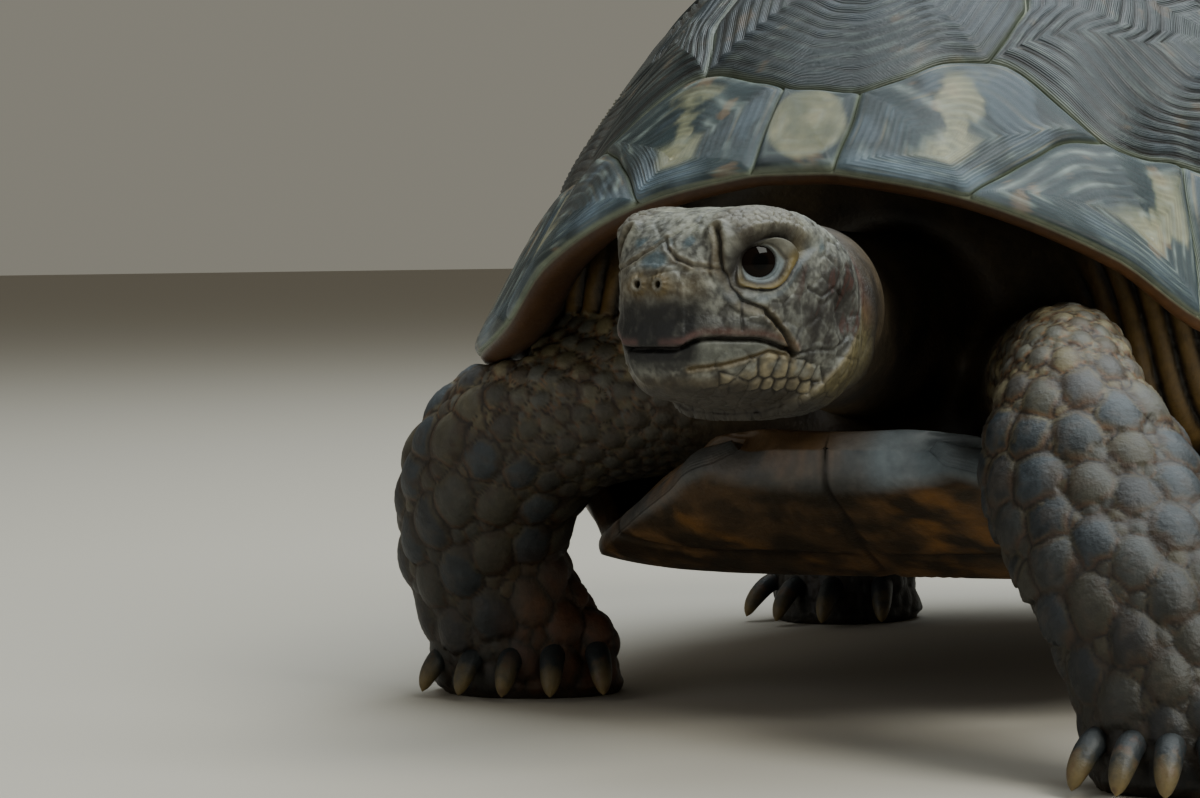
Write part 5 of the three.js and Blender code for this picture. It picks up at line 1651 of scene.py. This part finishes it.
# ---------------------------------------------------------------- materials
class Shader:
    """Short ways to add and link nodes of one tree."""

    def __init__(self, tree):
        self.tree = tree

    def node(self, kind, inputs=None, **options):
        made = self.tree.nodes.new(kind)
        for key, value in options.items():
            setattr(made, key, value)
        for key, value in (inputs or {}).items():
            self.link(made.inputs[key], value)
        return made

    def link(self, socket, value):
        if isinstance(value, bpy.types.NodeSocket):
            self.tree.links.new(value, socket)
        elif socket.type == "RGBA":
            socket.default_value = (*value, 1)
        else:
            socket.default_value = value

    def attribute(self, name, output="Fac"):
        return self.node("ShaderNodeAttribute", attribute_name=name).outputs[output]

    def math(self, operation, a, b=0.0):
        return self.node("ShaderNodeMath", {0: a, 1: b}, operation=operation).outputs[0]

    def ramp(self, value, low, high):
        inputs = {"Value": value, "From Min": low, "From Max": high}
        return self.node("ShaderNodeMapRange", inputs).outputs["Result"]

    def blend(self, share, a, b, kind="MIX"):
        inputs = {0: share, 6: a, 7: b}  # the node's own numbers for the factor and its two colours
        return self.node("ShaderNodeMix", inputs, data_type="RGBA", blend_type=kind).outputs[2]

    def noise(self, scale, detail):
        at = self.node("ShaderNodeTexCoord").outputs["Object"]
        inputs = {"Vector": at, "Scale": scale, "Detail": detail, "Roughness": 0.55}
        return self.node("ShaderNodeTexNoise", inputs).outputs["Fac"]

    def bump(self, height, strength):
        inputs = {"Height": height, "Strength": strength, "Distance": 0.0003}
        return self.node("ShaderNodeBump", inputs).outputs["Normal"]


def finish_group():
    """The finish that horn and skin share: mottled colour, uneven gloss and fine grain."""
    name = "Tortoise Finish"
    if name in bpy.data.node_groups:
        return bpy.data.node_groups[name]
    tree = bpy.data.node_groups.new(name, "ShaderNodeTree")
    for socket, kind in (("Color", "Color"), ("Mottle", "Float"), ("Roughness", "Float")):
        tree.interface.new_socket(name=socket, in_out="INPUT", socket_type=f"NodeSocket{kind}")
    for socket, kind in (("Color", "Color"), ("Roughness", "Float"), ("Height", "Float")):
        tree.interface.new_socket(name=socket, in_out="OUTPUT", socket_type=f"NodeSocket{kind}")
    s = Shader(tree)
    given = s.node("NodeGroupInput").outputs
    blotches = s.noise(650.0, 6.0)
    shades = s.blend(s.ramp(blotches, 0.34, 0.68), srgb(0x858585), srgb(0xe2e0da))
    uneven = s.math("MULTIPLY", s.math("SUBTRACT", blotches, 0.5), 0.25)
    s.node("NodeGroupOutput", {
        "Color": s.blend(given["Mottle"], given["Color"], shades, "MULTIPLY"),
        "Roughness": s.math("ADD", given["Roughness"], uneven),
        "Height": s.noise(1500.0, 5.0),
    })
    return tree


def new_material(name):
    """A material with its principled shader and helper."""
    material = bpy.data.materials.new(name)
    material.use_nodes = True
    shader = material.node_tree.nodes["Principled BSDF"]
    return material, Shader(material.node_tree), shader


def finished_material(name, roughness, grain, mottle, colour=None, lines=False):
    """A surface with the shared finish over its painted colours or over the colour that a function makes."""
    material, s, shader = new_material(name)
    base = colour(s) if colour else s.attribute("paint", "Color")
    inputs = {"Color": base, "Mottle": mottle, "Roughness": roughness}
    finish = s.node("ShaderNodeGroup", node_tree=finish_group())
    for key, value in inputs.items():
        s.link(finish.inputs[key], value)
    s.link(shader.inputs["Base Color"], finish.outputs["Color"])
    s.link(shader.inputs["Roughness"], finish.outputs["Roughness"])
    shader.inputs["Specular IOR Level"].default_value = 0.35
    height = finish.outputs["Height"]
    if lines:
        waves_per_ring = 8
        wave = s.math("SINE", s.math("MULTIPLY", s.attribute("rings"), waves_per_ring * 2 * math.pi))
        height = s.math("ADD", height, s.math("MULTIPLY", wave, 0.25))
    s.link(shader.inputs["Normal"], s.bump(height, grain))
    return material


def eye_material():
    """A wet, nearly black eye with a dark brown iris round its pupil."""
    material, s, shader = new_material("eye")
    chosen = settings("eyes")
    fibres = s.math("MULTIPLY", s.noise(2500.0, 3.0), 0.3)
    share = s.ramp(s.math("ADD", s.attribute("gaze"), fibres), 0.9, 1.3)
    s.link(shader.inputs["Base Color"], s.blend(share, tuple(chosen.pupil), tuple(chosen.iris)))
    shader.inputs["Roughness"].default_value = 0.03
    shader.inputs["Specular IOR Level"].default_value = 0.09
    return material


def claw_colour(s):
    """Dark horn at the claw's root, worn and stained horn towards its tip."""
    chosen = settings("claws")
    grain = s.noise(420.0, 5.0)
    share = s.math("ADD", s.attribute("along"), s.math("MULTIPLY", s.math("SUBTRACT", grain, 0.5), 0.7))
    colour = s.blend(s.ramp(share, 0.5, 1.0), tuple(chosen.root), tuple(chosen.tip))
    return s.blend(s.ramp(grain, 0.55, 0.75), colour, srgb(0x4a3326))


# ---------------------------------------------------------------- operators
def joined(name, bodies, material):
    """Several closed bodies as one piece."""
    points, faces, values = [], [], {}
    for body_points, body_faces, body_values in bodies:
        first = sum(len(p) for p in points)
        points.append(body_points)
        faces += [tuple(i + first for i in face) for face in body_faces]
        for key, value in body_values.items():
            values.setdefault(key, []).append(value)
    return new_object(name, np.vstack(points), faces, material,
                      {key: np.concatenate(value) for key, value in values.items()})


class TORTOISE_OT_carapace_wall(Operator):
    """Build the shell's own wall with its rounded rim, under the horn plates"""
    bl_idname = "tortoise.carapace_wall"
    bl_label = "Carapace Wall"

    def execute(self, context):
        points, faces, paint = carapace_base()
        material = finished_material("carapace_base", 0.5, 0.3, 0.5)
        piece = new_object("carapace_base", points, faces, material, {"paint": paint})
        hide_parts("carapace")
        return {"FINISHED"}


class TORTOISE_OT_carapace_plates(Operator):
    """Build the horn plates of the carapace with their growth rings"""
    bl_idname = "tortoise.carapace_plates"
    bl_label = "Carapace Plates"

    def execute(self, context):
        material = finished_material("carapace_plates", 0.4, 0.35, 0.45, lines=True)
        groups = {name: [] for name in PLATE_PIECES}
        for number, (kind, border, spot) in enumerate(plate_outlines()):
            body = plate_body(kind, border, spot, number)
            groups["marginal" if kind == "nuchal" else kind].append(body)
        for kind, bodies in groups.items():
            piece = joined(PLATE_PIECES[kind], bodies, material)
            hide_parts("carapace")
        return {"FINISHED"}


PLATE_PIECES = {
    "marginal": "marginal_plates", "costal_left": "costal_plates_left", "costal_right": "costal_plates_right",
    "vertebral": "vertebral_plates",
}


class TORTOISE_OT_plastron(Operator):
    """Build the plastron with its seams, growth rings and rounded front"""
    bl_idname = "tortoise.plastron"
    bl_label = "Plastron"

    def execute(self, context):
        points, faces, values = plastron_body()
        material = finished_material("plastron", 0.42, 0.35, 0.5)
        piece = new_object("plastron_plates", points, faces, material, values)
        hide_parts("plastron")
        return {"FINISHED"}


class TORTOISE_OT_skin(Operator):
    """Build head, neck, legs, tail and body as one skin with scales, folds, lids and jaws"""
    bl_idname = "tortoise.skin"
    bl_label = "Skin"

    def execute(self, context):
        mesh, values = skin_body()
        set_points(mesh, to_row(mesh_points(mesh)))
        material = finished_material("tortoise_skin", 0.52, 0.45, 0.6)
        piece = add_piece("tortoise_skin", mesh, material, values)
        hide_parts("torso", "neck", "head", "jaw", "tail", *LEGS)
        return {"FINISHED"}


class TORTOISE_OT_eyes(Operator):
    """Build both eyeballs behind their lids"""
    bl_idname = "tortoise.eyes"
    bl_label = "Eyes"

    def execute(self, context):
        material = eye_material()
        gaze = np.array([0, EYE_SIGHT[0], EYE_SIGHT[1]]) / EYE_RADIUS
        gaze[0] = math.sqrt(1 - gaze @ gaze)
        for name, side in (("eye_left", 1), ("eye_right", -1)):
            points, faces, local = ball(on_side(EYE_PLACE, side), EYE_RADIUS, eye_axes(side))
            away = np.arccos(np.clip(local @ gaze, -1, 1)) * EYE_RADIUS
            piece = new_object(f"{name}_ball", from_head(points), faces, material, {"gaze": away})
            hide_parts(name)
        return {"FINISHED"}


class TORTOISE_OT_claws(Operator):
    """Build the claws of all four feet"""
    bl_idname = "tortoise.claws"
    bl_label = "Claws"

    def execute(self, context):
        material = finished_material("claw_horn", 0.5, 0.4, 0.3, claw_colour)
        for name, leg in LEGS.items():
            points, faces, along = claws_body(leg)
            piece = new_object(f"claws_{name}", points, faces, material, {"along": along})
            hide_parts(*(f"claw_{name}_{i + 1}" for i in range(leg["claws"])))
        return {"FINISHED"}


LIGHTS = {  # place and aim in own-frame mm, size in metres, colour
    "key": ((720, -380, 740), (0, -90, 50), 0.45, (0.98, 1.0, 0.93)),
    "sky": ((150, 250, 1000), (0, 0, 90), 1.2, (0.84, 0.93, 0.97)),
    "fill": ((-600, -900, 350), (0, -100, 40), 0.8, (0.95, 0.97, 1.0)),
}
WORLD_COLOUR = 0xb4b0a2
WORLD_STRENGTH = 0.5
FLOOR_HALF = 6.0  # metres
CAMERA_PLACE = (162, -532, 64)
CAMERA_TURN = (-23.3, -2.5, -1.0)  # degrees of yaw, pitch and roll
CAMERA_LENS = 114


def area_light(name, place, aim, size, colour, power):
    """A soft square light over the tortoise; place and aim are in own-frame mm."""
    data = bpy.data.lights.new(name, "AREA")
    data.size = size
    data.energy = power
    data.color = colour
    lamp = bpy.data.objects.new(name, data)
    lamp.location = Vector(to_row(place))
    direction = Vector(to_row(aim)) - lamp.location
    lamp.rotation_euler = direction.to_track_quat("-Z", "Y").to_euler()
    bpy.context.scene.collection.objects.link(lamp)


def place_camera(scene):
    """The camera in front of the tortoise's left shoulder, low over the floor."""
    data = bpy.data.cameras.new("camera")
    data.lens = CAMERA_LENS
    data.sensor_width = 36
    data.clip_start = 0.01
    camera = bpy.data.objects.new("camera", data)
    yaw, pitch, roll = (angle * DEG for angle in CAMERA_TURN)
    forward = Vector((math.sin(yaw) * math.cos(pitch), math.cos(yaw) * math.cos(pitch), math.sin(pitch)))
    right = forward.cross(Vector((0, 0, 1))).normalized()
    up = right.cross(forward)
    tilted_right = math.cos(roll) * right + math.sin(roll) * up
    tilted_up = math.cos(roll) * up - math.sin(roll) * right
    camera.matrix_world = Matrix((tilted_right, tilted_up, -forward)).transposed().to_4x4()
    camera.location = Vector(to_row(CAMERA_PLACE))
    scene.collection.objects.link(camera)
    scene.camera = camera


class TORTOISE_OT_stage(Operator):
    """Build the floor, the soft studio lights and the camera"""
    bl_idname = "tortoise.stage"
    bl_label = "Stage"

    def execute(self, context):
        scene, chosen = context.scene, settings("stage")
        mesh = bpy.data.meshes.new("floor")
        half = FLOOR_HALF
        corners = [(-half, -half, 0), (half, -half, 0), (half, half, 0), (-half, half, 0)]
        mesh.from_pydata(corners, [], [(0, 1, 2, 3)])
        material, s, shader = new_material("floor")
        s.link(shader.inputs["Base Color"], tuple(chosen.floor))
        shader.inputs["Roughness"].default_value = 0.85
        mesh.materials.append(material)
        floor = bpy.data.objects.new("floor", mesh)
        scene.collection.objects.link(floor)

        world = bpy.data.worlds.new("studio")
        scene.world = world
        world.use_nodes = True
        background = world.node_tree.nodes["Background"]
        background.inputs["Color"].default_value = (*srgb(WORLD_COLOUR), 1)
        background.inputs["Strength"].default_value = WORLD_STRENGTH
        for name, light in LIGHTS.items():
            area_light(name, *light, getattr(chosen, name))
        place_camera(scene)
        return {"FINISHED"}


OPERATORS = {
    "shell": (TORTOISE_OT_carapace_wall, TORTOISE_OT_carapace_plates), "plastron": (TORTOISE_OT_plastron,),
    "skin": (TORTOISE_OT_skin,), "eyes": (TORTOISE_OT_eyes,), "claws": (TORTOISE_OT_claws,),
    "stage": (TORTOISE_OT_stage,),
}


class TORTOISE_PT_sidebar(Panel):
    """Buttons that build the tortoise and the settings that they use"""
    bl_idname = "TORTOISE_PT_sidebar"
    bl_label = "Tortoise"
    bl_space_type = "VIEW_3D"
    bl_region_type = "UI"
    bl_category = "Tortoise"

    def draw(self, context):
        for part, operators in OPERATORS.items():
            box = self.layout.box()
            for operator in operators:
                box.operator(operator.bl_idname)
            for name in SETTINGS[part].__annotations__:
                box.prop(settings(part), name)


STEPS = [operator for group in OPERATORS.values() for operator in group]
CLASSES = (*SETTINGS.values(), *STEPS, TORTOISE_PT_sidebar)


def register():
    """Adds the settings, operators and panel."""
    for made in CLASSES:
        bpy.utils.register_class(made)
    for part, group in SETTINGS.items():
        setattr(bpy.types.Scene, f"tortoise_{part}", PointerProperty(type=group))


def unregister():
    """Takes the settings, operators and panel away again."""
    for part in SETTINGS:
        delattr(bpy.types.Scene, f"tortoise_{part}")
    for made in reversed(CLASSES):
        bpy.utils.unregister_class(made)


def main():
    """Builds every piece and the stage."""
    register()
    bpy.ops.tortoise.carapace_wall()
    bpy.ops.tortoise.carapace_plates()
    bpy.ops.tortoise.plastron()
    bpy.ops.tortoise.skin()
    bpy.ops.tortoise.eyes()
    bpy.ops.tortoise.claws()
    bpy.ops.tortoise.stage()
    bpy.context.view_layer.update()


if __name__ == "__main__":
    main()
